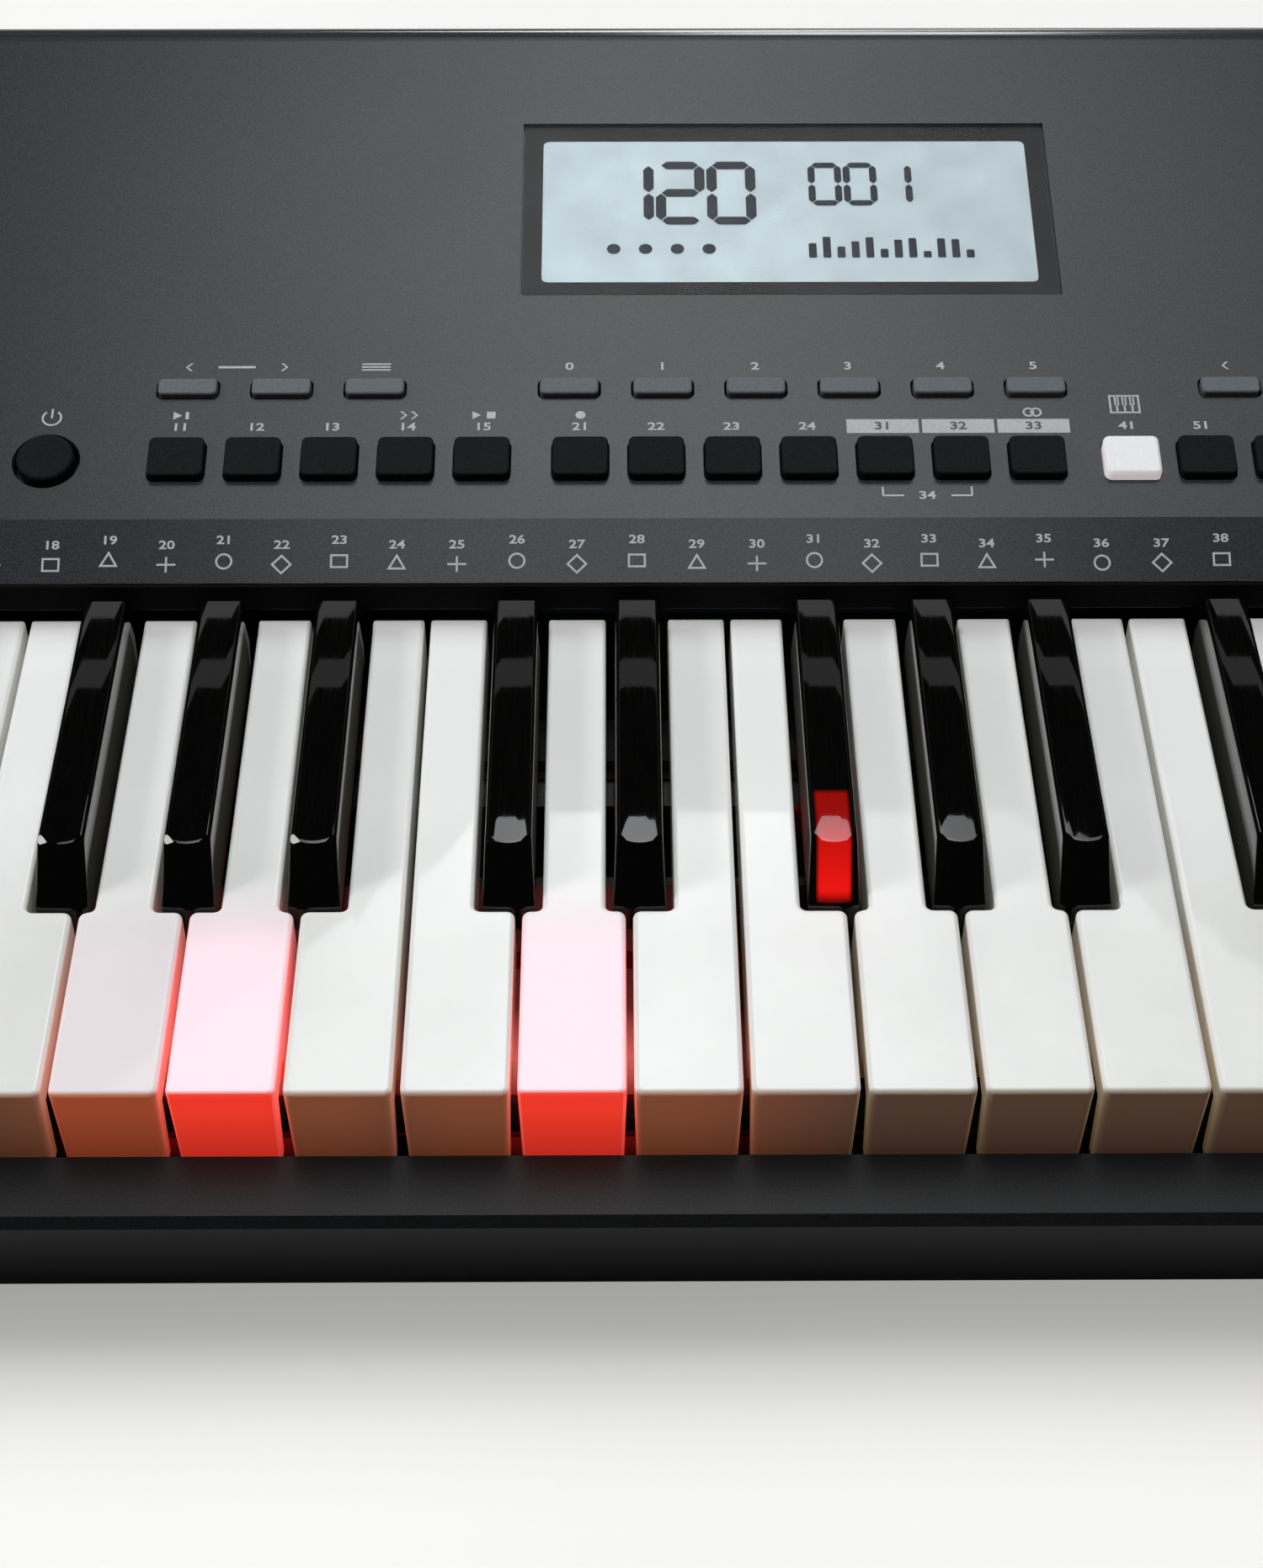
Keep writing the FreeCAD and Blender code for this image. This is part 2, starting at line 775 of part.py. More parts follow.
def lower_case():
    case = tub_solid(0, floor_z, parting_z).cut(tub_solid(wall, floor_z + wall, parting_z + wall))
    half = opening_half
    back = front_y + rail_depth
    outer = tub_solid(0, floor_z, parting_z)
    inner_floor = floor_z + wall / 2
    parts = [outer.common(box(-half, half, front_y, back, parting_z - wall, parting_z)),
             box(-half, half, back - wall, back, parting_z - rail_flange, parting_z)]
    chassis_front = key_y + deck_front_y
    chassis_back = hinge_y + deck_behind_hinge
    for k in (0.15, 0.5, 0.85):
        y = chassis_front + k * (chassis_back - chassis_front)
        parts.append(box(-key_span / 2, key_span / 2, y - rib / 2, y + rib / 2, inner_floor, deck_z - deck))
    for x in (-1, 1):
        for y in (-1, 1):
            px = main_board_x + x * (main_board_width / 2 - stud)
            py = main_board_y + y * (main_board_depth / 2 - stud)
            parts.append(block(px, py, stud, stud, inner_floor, bay_z + main_board_rise))
    bay_out = bay_half + cover_rabbet + bay_wall
    bay = box(-bay_out, bay_out, bay_front_y - bay_wall, bay_inner_rear_y + bay_wall, inner_floor,
              bay_z + bay_height + bay_wall)
    parts.append(bay)
    case = joined(case, parts)
    bevel = [V(-half, front_y, parting_z), V(-half, front_y + rail_bevel, parting_z),
             V(-half, front_y, parting_z - rail_bevel)]
    wedge = Part.Face(Part.makePolygon(bevel + bevel[:1])).extrude(V(2 * half, 0, 0))
    hollow = box(-bay_half, bay_half, bay_front_y, bay_inner_rear_y, bay_z, bay_z + bay_height)
    mouth = box(-bay_half, bay_half, bay_front_y, rear_y, floor_z - 1, bay_z)
    rabbet_half = bay_half + cover_rabbet
    rabbet_top = bay_z + 2 * run_clearance
    rabbet = box(-rabbet_half, rabbet_half, bay_front_y, rear_y, floor_z + wall / 2, rabbet_top)
    sinks = rubber_feet()
    return case.cut([wedge, hollow, mouth, rabbet] + sinks)


def battery_cover():
    """Sliding lid with side tongues over the rabbet and a finger grip."""
    gap = run_clearance
    front = bay_front_y + gap
    plate = box(-bay_half + gap, bay_half - gap, front, tub_rear_y, floor_z, bay_z + gap)
    tongue_half = bay_half + cover_rabbet - gap
    tongue_z = floor_z + wall / 2 + gap
    tongue = box(-tongue_half, tongue_half, front, tub_rear_y, tongue_z, bay_z + gap)
    half_grip = cover_grip_width / 2
    grips = []
    for k in range(3):
        y = tub_rear_y - (2 + 2 * k) * cover_grip_depth
        grips.append(box(-half_grip, half_grip, y, y + cover_grip_depth, 0, floor_z + cover_grip_sink))
    return joined(plate, [tongue]).cut(grips)


def battery_contacts():
    plates = []
    row = (bay_inner_rear_y - bay_front_y) / 2
    for side in (-1, 1):
        x = side * (bay_half - contact_plate / 2)
        for k in (0.5, 1.5):
            y = bay_front_y + k * row
            z0 = bay_z + bay_height / 2 - contact_width / 2
            plates.append(block(x, y, contact_plate, contact_width, z0, z0 + contact_width))
    return plates


def rubber_feet():
    return [block(x, y, foot_pad, foot_pad, 0, floor_z + foot_pad_sink) for x, y in foot_places]


# Speakers
def grille_plates():
    plates = []
    pitch = grille_depth / grille_slots
    back = -wall - grille_flange
    over = 2 * grille_overlap
    for x in (-speaker_x, speaker_x):
        plate = block(x, speaker_v, grille_width, grille_depth, -wall, 0)
        border = block(x, speaker_v, grille_width + over, grille_depth + over, back, -wall)
        grille = joined(plate, [border])
        slots = []
        for k in range(grille_slots):
            v = speaker_v - grille_depth / 2 + (k + 0.5) * pitch
            slots.append(block(x, v, grille_width - over, slot_height, back - wall, wall))
        plates.append(on_panel(grille.cut(slots)))
    return plates


def ring(x, v, radius):
    """Outline of a round piece by flats."""
    turns = [radians(360 / speaker_flats * k) for k in range(speaker_flats)]
    return [(x + radius * cos(t), v + radius * sin(t)) for t in turns]


def speakers():
    """Drive units under the grilles: rim, cone with dust cap, basket and magnet, closed at the back."""
    top = -wall - grille_flange
    low = top - speaker_depth
    rim = speaker_diameter / 2
    mouth = cone_diameter / 2
    cap = cap_diameter / 2
    magnet = magnet_diameter / 2
    deep = top - cone_depth
    units = []
    for x in (-speaker_x, speaker_x):
        flange_ring = ring(x, speaker_v, rim)
        magnet_ring = ring(x, speaker_v, magnet)
        body = prism(flange_ring, top - basket, top)
        bowl = frustum(magnet_ring, flange_ring, low + magnet_height, top - basket)
        back = prism(magnet_ring, low, low + magnet_height)
        hollow = frustum(ring(x, speaker_v, cap), ring(x, speaker_v, mouth), deep, top)
        dust_cap = frustum(ring(x, speaker_v, cap), ring(x, speaker_v, cap / 2), deep, deep + cap / 3)
        unit = joined(body, [bowl, back]).cut(hollow)
        units.append(on_panel(joined(unit, [dust_cap])))
    return units


# Rear sockets
jack_places = [jack_panel_x - jack_pitch, jack_panel_x, jack_panel_x + jack_pitch]
plug_bore = (jack_bore_diameter, jack_depth)
socket_bores = [plug_bore, plug_bore, (dc_bore_diameter, dc_depth)]


def socket_front(x, extra):
    """Square front of a socket, grown by extra, through the jack panel."""
    half = jack_body / 2 + extra
    return box(x - half, x + half, rear_y - 2 * wall, rear_y, jack_panel_z - half, jack_panel_z + half)


def rear_jack_panel():
    x0, x1, z0, z1 = jack_window(0)
    plate = box(x0, x1, rear_y - wall, rear_y, z0, z1)
    x0, x1, z0, z1 = jack_window(jack_panel_overlap)
    back = box(x0, x1, rear_y - 2 * wall, rear_y - wall, z0, z1)
    return joined(plate, [back]).cut([socket_front(x, grille_clearance) for x in jack_places])


def rear_sockets():
    """Sockets with square fronts flush in the jack panel and shoulders against its back."""
    face = rear_y - 2 * wall
    half = jack_body / 2 + jack_shoulder
    sockets = []
    for x, (diameter, depth) in zip(jack_places, socket_bores):
        body = box(x - half, x + half, face - jack_length, face, jack_panel_z - half, jack_panel_z + half)
        mouth = V(x, rear_y - depth, jack_panel_z)
        bore = Part.makeCylinder(diameter / 2, depth + 1, mouth, V(0, 1, 0))
        sockets.append(joined(body, [socket_front(x, 0)]).cut(bore))
    return sockets


def jack_board():
    x0, x1, z0, z1 = jack_window(0)
    top = jack_panel_z - jack_body / 2 - jack_shoulder
    face = rear_y - 2 * wall
    return box(x0, x1, face - 1.5 * jack_length, face - wall, top - board, top)


def main_board():
    low = bay_z + main_board_rise
    top = low + board
    base = block(main_board_x, main_board_y, main_board_width, main_board_depth, low, top)
    chips = []
    for dx, dy, size in ((-0.25, 0.1, sound_chip), (0.1, -0.15, memory_chip), (0.3, 0.2, power_chip)):
        x = main_board_x + dx * main_board_width
        y = main_board_y + dy * main_board_depth
        chips.append(block(x, y, size, size, top, top + chip_height))
    return joined(base, chips)


# Every piece is written out
FIRST_SINGLE_WHITE = 10
LAST_SINGLE_WHITE = 21
whites = [white_key(i) for i in range(white_count)]
for i in range(FIRST_SINGLE_WHITE, LAST_SINGLE_WHITE + 1):
    save("white_" + white_name(i), whites[i])
save("white_keys_low", whites[:FIRST_SINGLE_WHITE])
save("white_keys_high", whites[LAST_SINGLE_WHITE + 1:])

low_x = white_place(FIRST_SINGLE_WHITE)[0]
high_x = white_place(LAST_SINGLE_WHITE + 1)[0] + white_pitch / 2
low_blacks = []
high_blacks = []
for name, x in black_places():
    key = black_key(x)
    if x < low_x:
        low_blacks.append(key)
    elif x > high_x:
        high_blacks.append(key)
    else:
        save("black_" + name, key)
save("black_keys_low", low_blacks)
save("black_keys_high", high_blacks)

save("key_chassis", key_chassis())
save("hinge_rod", hinge_rod())
save("key_retainer", key_retainer())
save("stop_felts", stop_felts())
save("key_light_boards", key_light_boards())
save("key_contact_board", key_contact_board())
save("contact_rubbers", contact_rubbers())

for name, row in square_groups.items():
    save(name, [push_button(x, square_v, square_width, square_depth, square_rise) for x in row])
for name, row in rect_groups.items():
    save(name, [push_button(x, rect_v, rect_width, rect_depth, rect_rise) for x in row])
save("power_button", power_button())
save("volume_knob", volume_knob())
save("volume_pot", volume_pot())
save("panel_board", panel_board())
save("display_window", display_window())
save("display_module", display_module())

save("upper_case", upper_case())
save("lower_case", lower_case())
save("battery_cover", battery_cover())
save("battery_contacts", battery_contacts())
save("rubber_feet", rubber_feet())
save("speaker_grilles", grille_plates())
save("speakers", speakers())
save("rear_jack_panel", rear_jack_panel())
save("rear_sockets", rear_sockets())
save("jack_board", jack_board())
save("main_board", main_board())
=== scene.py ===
import json
from math import atan2, cos, pi, radians, sin

import bmesh
import bpy
from mathutils import Matrix, Vector

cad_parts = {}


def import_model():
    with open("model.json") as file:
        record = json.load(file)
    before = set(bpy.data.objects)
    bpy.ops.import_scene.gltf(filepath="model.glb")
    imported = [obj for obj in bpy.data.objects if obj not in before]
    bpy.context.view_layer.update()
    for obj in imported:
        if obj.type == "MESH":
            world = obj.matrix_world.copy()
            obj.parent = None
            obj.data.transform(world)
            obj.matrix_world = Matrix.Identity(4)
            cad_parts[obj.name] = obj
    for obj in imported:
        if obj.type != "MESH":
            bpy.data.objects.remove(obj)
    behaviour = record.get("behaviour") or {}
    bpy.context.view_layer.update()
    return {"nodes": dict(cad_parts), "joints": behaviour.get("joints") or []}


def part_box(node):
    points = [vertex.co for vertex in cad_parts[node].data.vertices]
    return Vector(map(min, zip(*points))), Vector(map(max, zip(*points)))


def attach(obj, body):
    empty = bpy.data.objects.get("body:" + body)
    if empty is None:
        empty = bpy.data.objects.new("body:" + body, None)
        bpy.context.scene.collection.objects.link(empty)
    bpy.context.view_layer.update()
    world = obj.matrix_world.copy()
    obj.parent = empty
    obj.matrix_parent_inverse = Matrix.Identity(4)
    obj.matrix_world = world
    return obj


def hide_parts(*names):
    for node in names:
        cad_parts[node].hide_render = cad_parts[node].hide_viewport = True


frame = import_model()
nodes = frame["nodes"]
white_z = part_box("white_g4")[1].z
key_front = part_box("white_d4")[0]

# Arranger keyboard with lit keys, dressed in Blender. Metres, with sizes written in millimetres.
MM = 0.001
# Points closer than this share a level
TOUCH = 0.01 * MM

# Key shapes
WHITE_SIDE_DEPTH = 14.0 * MM
WHITE_FRONT_WALL = 3.5 * MM
WHITE_WALL = 1.5 * MM
WHITE_TRIM = 0.2 * MM
WHITE_PLATE = 2.0 * MM
BEAM_NOTCH_DROP = 6.5 * MM
BEAM_NOTCH_END = 14.0 * MM
WHITE_FRONT_DRAFT = 0.5 * MM
WHITE_EDGE = 1.15 * MM
WHITE_FRONT_CORNER = 1.8 * MM
WHITE_SHOULDER = 1.8 * MM
WHITE_NOTCH = 1.5 * MM
WHITE_NOTCH_CLEAR = 5.0 * MM
WHITE_TAIL_CORNER = 0.6 * MM
TAIL_REACH = 1.4 * MM
BLACK_TOP_HALF = 5.0 * MM
BLACK_BASE_TRIM = 0.2 * MM
BLACK_CORNER = 0.9 * MM
BLACK_FACET = 2.4 * MM
BLACK_FACET_FACING = (0.395, -0.35, 0.85)
BLACK_TOP_FALL = 0.5 * MM
BLACK_SIDE_DEPTH = 8.0 * MM
BLACK_FOOT_DROP = 2.0 * MM
BLACK_CREASE_BOW = 1.9 * MM
BLACK_FOOT_BOW = 0.5 * MM
BLACK_SOFT = 0.9 * MM
BLACK_SOFT_LEAD = 0.35
BLACK_FOOT_EDGE = 0.3 * MM

# Lamps and painted glow: how far each glowing white key shines (g3 has no lamp; its glow is painted light
# from a3's lamp), the lit black key, and one lamp's size and strength
WHITE_KEY_GLOW = {"white_g3": 0.36, "white_a3": 1.0, "white_d4": 1.0}
LIT_BLACK = "black_fs4"
LAMP_WIDTH = 6.0 * MM
LAMP_STRENGTH = 60.0
lamp_whites = [node for node, level in WHITE_KEY_GLOW.items() if level == 1.0]

# Panel controls
SQUARE_CORNER = 1.5 * MM
SQUARE_EDGE = 0.5 * MM
PIANO_EDGE = 0.9 * MM
RECT_CORNER = 1.2 * MM
RECT_EDGE = 0.6 * MM
SQUARE_GAP = 0.36 * MM
RECT_GAP = 0.55 * MM
POWER_GAP = 0.9 * MM
RIM_REACH = 1.2 * MM
RIM_PROUD = 0.02 * MM
CAP_ROOT = 2.0 * MM
CAP_ABOVE = 0.1 * MM
POWER_EDGE = 1.0 * MM
POWER_DISH = ((2.2 * MM, 0.15 * MM), (4.5 * MM, 0.35 * MM))
ROUND_SIDES = 48
KNOB_FLUTES = 40
KNOB_FLUTE_DEPTH = 0.56 * MM
POINTER_WIDTH = 0.9 * MM
STRIP_SLOPE = radians(28.0)
STRIP_LENGTH = 15.9 * MM

# Printed marks; a figure's height is a share of its type size
INK = 0.03 * MM
STROKE = 0.48 * MM
DIGIT = 2.3 * MM
DIGIT_WIDTH = 1.3
DIGIT_SHARE = 0.72
MARK_SIDES = 28
ARROW = 1.2 * MM
PLAY_RADIUS = 1.4 * MM
NUMBER_LINE = 10.3 * MM
SIGN_LINE = 13.9 * MM
RECT_LINE = 7.0 * MM

# Dust strip behind the keys
DUST_STRIP_LENGTH = 846.0 * MM
DUST_STRIP_HEIGHT = 7.4 * MM

SQUARE_NODES = ("style_buttons", "record_buttons", "mode_buttons", "metronome_buttons", "number_buttons",
                "piano_button")
RECT_NODES = ("tempo_buttons", "memory_buttons", "value_buttons")
NUMBERED_NODES = ("style_buttons", "record_buttons", "mode_buttons", "piano_button", "metronome_buttons")


# Shapes
def islands(node):
    """Corner points of each separate solid of a CAD node, from left to right."""
    bm = bmesh.new()
    bm.from_mesh(nodes[node].data)
    bmesh.ops.remove_doubles(bm, verts=bm.verts, dist=0.001 * MM)
    left = set(bm.verts)
    found = []
    while left:
        reach = [left.pop()]
        solid = []
        while reach:
            vert = reach.pop()
            solid.append(vert.co.copy())
            for edge in vert.link_edges:
                other = edge.other_vert(vert)
                if other in left:
                    left.remove(other)
                    reach.append(other)
        found.append(solid)
    bm.free()
    return sorted(found, key=lambda solid: min(p.x for p in solid))


def rounded_outline(corners, radii, steps=4):
    """Plan outline with an arc at each square corner, points in the order of the corners."""
    points = []
    count = len(corners)
    for i in range(count):
        here = corners[i]
        u = (corners[i - 1] - here).normalized()
        w = (corners[(i + 1) % count] - here).normalized()
        r = radii[i]
        centre = here + (u + w) * r
        for k in range(steps + 1):
            a = pi / 2 * k / steps
            points.append(centre - w * r * cos(a) - u * r * sin(a))
    return points


def polygon(sides, radius, turn=0.0):
    """Regular outline, anticlockwise."""
    turns = [turn + 2 * pi * k / sides for k in range(sides)]
    return [Vector((radius * cos(a), radius * sin(a))) for a in turns]


def bar(width, height):
    x = width / 2
    y = height / 2
    return [Vector(p) for p in ((-x, -y), (x, -y), (x, y), (-x, y))]


def rounded_rect(width, depth, radius, steps=4):
    return rounded_outline(bar(width, depth), [radius] * 4, steps)


def shrunk(points, distance):
    """Outline moved inward, points anticlockwise."""
    moved = []
    count = len(points)
    for i in range(count):
        before = (points[i] - points[i - 1]).normalized()
        after = (points[(i + 1) % count] - points[i]).normalized()
        n1 = Vector((-before.y, before.x))
        n2 = Vector((-after.y, after.x))
        moved.append(points[i] + (n1 + n2) * (distance / (1 + n1.dot(n2))))
    return moved


def extent(points):
    """Least and greatest x, then least and greatest y."""
    xs = [p.x for p in points]
    ys = [p.y for p in points]
    return min(xs), max(xs), min(ys), max(ys)


def edge_rings(top, radius, steps=4):
    """Inset and height of each ring over a rounded top edge."""
    turns = [pi / 2 * k / steps for k in range(steps + 1)]
    return [(radius * (1 - cos(a)), top - radius + radius * sin(a)) for a in turns]


def add_loft(bm, outline, rings, place=Matrix.Identity(4)):
    """Closed solid through rings of (inset, height) over one outline, put in place by a matrix."""
    loops = []
    for inset, height in rings:
        loop = shrunk(outline, inset) if inset else outline
        loops.append([bm.verts.new(place @ Vector((p.x, p.y, height))) for p in loop])
    count = len(outline)
    for low, high in zip(loops, loops[1:]):
        for i in range(count):
            j = (i + 1) % count
            bm.faces.new((low[i], low[j], high[j], high[i]))
    bm.faces.new(loops[0][::-1])
    bm.faces.new(loops[-1])


def add_band(bm, outer, inner, low, high, place):
    """Closed flat ring between two outlines with as many points."""
    loops = []
    for outline, height in ((outer, low), (outer, high), (inner, high), (inner, low)):
        loops.append([bm.verts.new(place @ Vector((p.x, p.y, height))) for p in outline])
    count = len(outer)
    for k in range(4):
        first = loops[k]
        second = loops[(k + 1) % 4]
        for i in range(count):
            j = (i + 1) % count
            bm.faces.new((first[i], first[j], second[j], second[i]))


def piece(name, bm, material, body, smooth=True, crisp=50):
    """Object from a mesh under construction, riding on a body; edges sharper than an angle stay crisp."""
    bmesh.ops.recalc_face_normals(bm, faces=bm.faces)
    mesh = bpy.data.meshes.new(name)
    bm.to_mesh(mesh)
    bm.free()
    mesh.materials.append(material)
    if smooth:
        mesh.shade_smooth()
        mesh.set_sharp_from_angle(angle=radians(crisp))
    made = bpy.data.objects.new(name, mesh)
    bpy.context.scene.collection.objects.link(made)
    if smooth:
        weighted = made.modifiers.new("weighted", "WEIGHTED_NORMAL")
        weighted.keep_sharp = True
    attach(made, body)
    return made


# Materials
def linear(code):
    """sRGB hex colour as linear RGBA."""
    parts = [int(code[i:i + 2], 16) / 255 for i in (1, 3, 5)]
    return tuple(c / 12.92 if c <= 0.04045 else ((c + 0.055) / 1.055) ** 2.4 for c in parts) + (1.0,)


def add(tree, kind, inputs=None, **settings):
    """New node with its settings, and its inputs set or linked from a socket or a node's first output."""
    node = tree.nodes.new(kind)
    for name, value in settings.items():
        setattr(node, name, value)
    for socket, value in (inputs or {}).items():
        if isinstance(value, bpy.types.Node):
            value = next(out for out in value.outputs if out.enabled)
        if isinstance(value, bpy.types.NodeSocket):
            tree.links.new(value, node.inputs[socket])
        else:
            node.inputs[socket].default_value = value
    return node


def span(low, high, first=0.0, last=1.0):
    """Inputs that take a value from one range to another."""
    return {"From Min": low, "From Max": high, "To Min": first, "To Max": last}


def new_surface(name):
    """Empty node tree of a new material, and its object coordinates."""
    material = bpy.data.materials.new(name)
    material.use_nodes = True
    tree = material.node_tree
    tree.nodes.clear()
    place = add(tree, "ShaderNodeTexCoord").outputs["Object"]
    return material, tree, place


def close_surface(tree, inputs):
    """Principled shader on the material's output."""
    shader = add(tree, "ShaderNodeBsdfPrincipled", inputs)
    add(tree, "ShaderNodeOutputMaterial", {"Surface": shader})


def tinted(tree, pattern, first, second, low=0.3, high=0.7):
    """Colour that turns from one hex value to another as a pattern rises."""
    share = add(tree, "ShaderNodeMapRange", {"Value": pattern, **span(low, high)})
    ends = {"A": linear(first), "B": linear(second)}
    return add(tree, "ShaderNodeMix", {"Factor": share, **ends}, data_type="RGBA")


# Light in and around the lit keys
def near(tree, coordinate, middle, reach):
    """One at a place along an axis, falling to zero at a distance from it."""
    offset = add(tree, "ShaderNodeMath", {0: coordinate, 1: middle}, operation="SUBTRACT")
    away = add(tree, "ShaderNodeMath", {0: offset}, operation="ABSOLUTE")
    return add(tree, "ShaderNodeMapRange", {"Value": away, **span(0.0, reach, 1.0, 0.0)})


def along_key(tree, place, low, high, first, last):
    """Value that changes between two distances behind the front of the white keys."""
    y = add(tree, "ShaderNodeSeparateXYZ", {"Vector": place}).outputs["Y"]
    ends = span(key_front.y + low, key_front.y + high, first, last)
    return add(tree, "ShaderNodeMapRange", {"Value": y, **ends})


def middle_x(node):
    low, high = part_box(node)
    return (low.x + high.x) / 2


def lamp_light(tree, place, reach):
    """One over the lamps of the fully lit white keys, falling to zero at a distance across the keys."""
    x = add(tree, "ShaderNodeSeparateXYZ", {"Vector": place}).outputs["X"]
    light = 0.0
    for node in lamp_whites:
        lamp = near(tree, x, middle_x(node), reach)
        light = add(tree, "ShaderNodeMath", {0: light, 1: lamp}, operation="MAXIMUM")
    return light


def lamp_spill(tree, place):
    """Red light that the lamps under the lit white keys throw over the chassis, seen through the gaps."""
    y = add(tree, "ShaderNodeSeparateXYZ", {"Vector": place}).outputs["Y"]
    brightest = near(tree, y, key_front.y + 35 * MM, 14 * MM)
    level = add(tree, "ShaderNodeMapRange", {"Value": brightest, **span(0.0, 1.0, 0.24, 1.4)})
    ahead = along_key(tree, place, 8 * MM, 14 * MM, 0.0, 1.0)
    rearward = along_key(tree, place, 45 * MM, 85 * MM, 1.0, 0.0)
    strength = lamp_light(tree, place, 40 * MM)
    for share in (level, ahead, rearward):
        strength = add(tree, "ShaderNodeMath", {0: strength, 1: share}, operation="MULTIPLY")
    hue = tinted(tree, y, "#cb1e14", "#cb5d58", key_front.y + 22 * MM, key_front.y + 30 * MM)
    return {"Emission Color": hue, "Emission Strength": strength}


def board_lamps(tree, place):
    """Square lamps along the light boards: those under the lit keys shine red."""
    spot = add(tree, "ShaderNodeSeparateXYZ", {"Vector": place}).outputs
    rows = sorted(sum(p.y for p in solid) / len(solid) for solid in islands("key_light_boards"))
    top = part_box("key_light_boards")[1].z
    shine = 0.0
    for node, row in [(node, rows[0]) for node in lamp_whites] + [(LIT_BLACK, rows[1])]:
        across = near(tree, spot["X"], middle_x(node), LAMP_WIDTH)
        along = near(tree, spot["Y"], row, LAMP_WIDTH)
        square = add(tree, "ShaderNodeMath", {0: across, 1: along}, operation="MINIMUM")
        lamp = add(tree, "ShaderNodeMapRange", {"Value": square, **span(0.45, 0.55)})
        shine = add(tree, "ShaderNodeMath", {0: shine, 1: lamp}, operation="MAXIMUM")
    ends = span(top - 0.6 * MM, top - 0.2 * MM, 0.0, LAMP_STRENGTH)
    raised = add(tree, "ShaderNodeMapRange", {"Value": spot["Z"], **ends})
    strength = add(tree, "ShaderNodeMath", {0: shine, 1: raised}, operation="MULTIPLY")
    return {"Emission Color": linear("#ff1a10"), "Emission Strength": strength}


def lamp_window(tree, place, node):
    """Red lamp behind the smoked window in a black key's nose, brightest at the front."""
    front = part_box(node)[0].y
    spot = add(tree, "ShaderNodeSeparateXYZ", {"Vector": place}).outputs
    across = near(tree, spot["X"], middle_x(node), 10 * MM)
    shares = [add(tree, "ShaderNodeMapRange", {"Value": value, **ends}) for value, ends in (
        (across, span(0.61, 0.69)),
        (spot["Y"], span(front + 21.4 * MM, front + 22.8 * MM, 1.0, 0.0)),
        (spot["Z"], span(white_z - 0.8 * MM, white_z + 1.4 * MM)),
        (spot["Y"], span(front + 1.0 * MM, front + 14 * MM, 0.85, 0.3)))]
    strength = shares[0]
    for share in shares[1:]:
        strength = add(tree, "ShaderNodeMath", {0: strength, 1: share}, operation="MULTIPLY")
    return {"Emission Color": linear("#ff1812"), "Emission Strength": strength}


def cap_leak(tree, place):
    """Painted glow on the sides of a pale cap, for daylight that enters its top and leaves by its sides."""
    normal = add(tree, "ShaderNodeNewGeometry").outputs["Normal"]
    facing = add(tree, "ShaderNodeSeparateXYZ", {"Vector": normal}).outputs["Z"]
    side = add(tree, "ShaderNodeMapRange", {"Value": facing, **span(0.85, 0.0)})
    return {"Emission Color": linear("#b3aaa8"), "Emission Strength": side}


# Plastics, inks, metals and boards. Fibres, wipe marks and draw lines are finer than 0.1 mm; they are drawn
# at 0.2 to 0.8 mm so that they show.
def spark_textured_abs(name, dark, light, grain, roughness, sheen, glow=None):
    """ABS moulded in a spark-eroded tool: a fine even grain that scatters the light and sparkles a little.
    A function can add painted light: a glow for light that passes through the piece, or light from a lamp
    that falls on it."""
    material, tree, place = new_surface(name)
    speck = add(tree, "ShaderNodeTexNoise", {"Vector": place, "Scale": 1 / grain, "Detail": 2.0})
    cloud = add(tree, "ShaderNodeTexNoise", {"Vector": place, "Scale": 1 / (60 * MM), "Detail": 2.0})
    ends = span(0.0, 1.0, roughness - 0.04, roughness + 0.04)
    rough = add(tree, "ShaderNodeMapRange", {"Value": cloud, **ends})
    bump = add(tree, "ShaderNodeBump", {"Height": speck, "Strength": 0.15, "Distance": 0.05 * MM})
    emission = glow(tree, place) if glow else {}
    close_surface(tree, {"Base Color": tinted(tree, speck, dark, light), "Roughness": rough, "Normal": bump,
                         "Specular IOR Level": sheen, **emission})
    return material


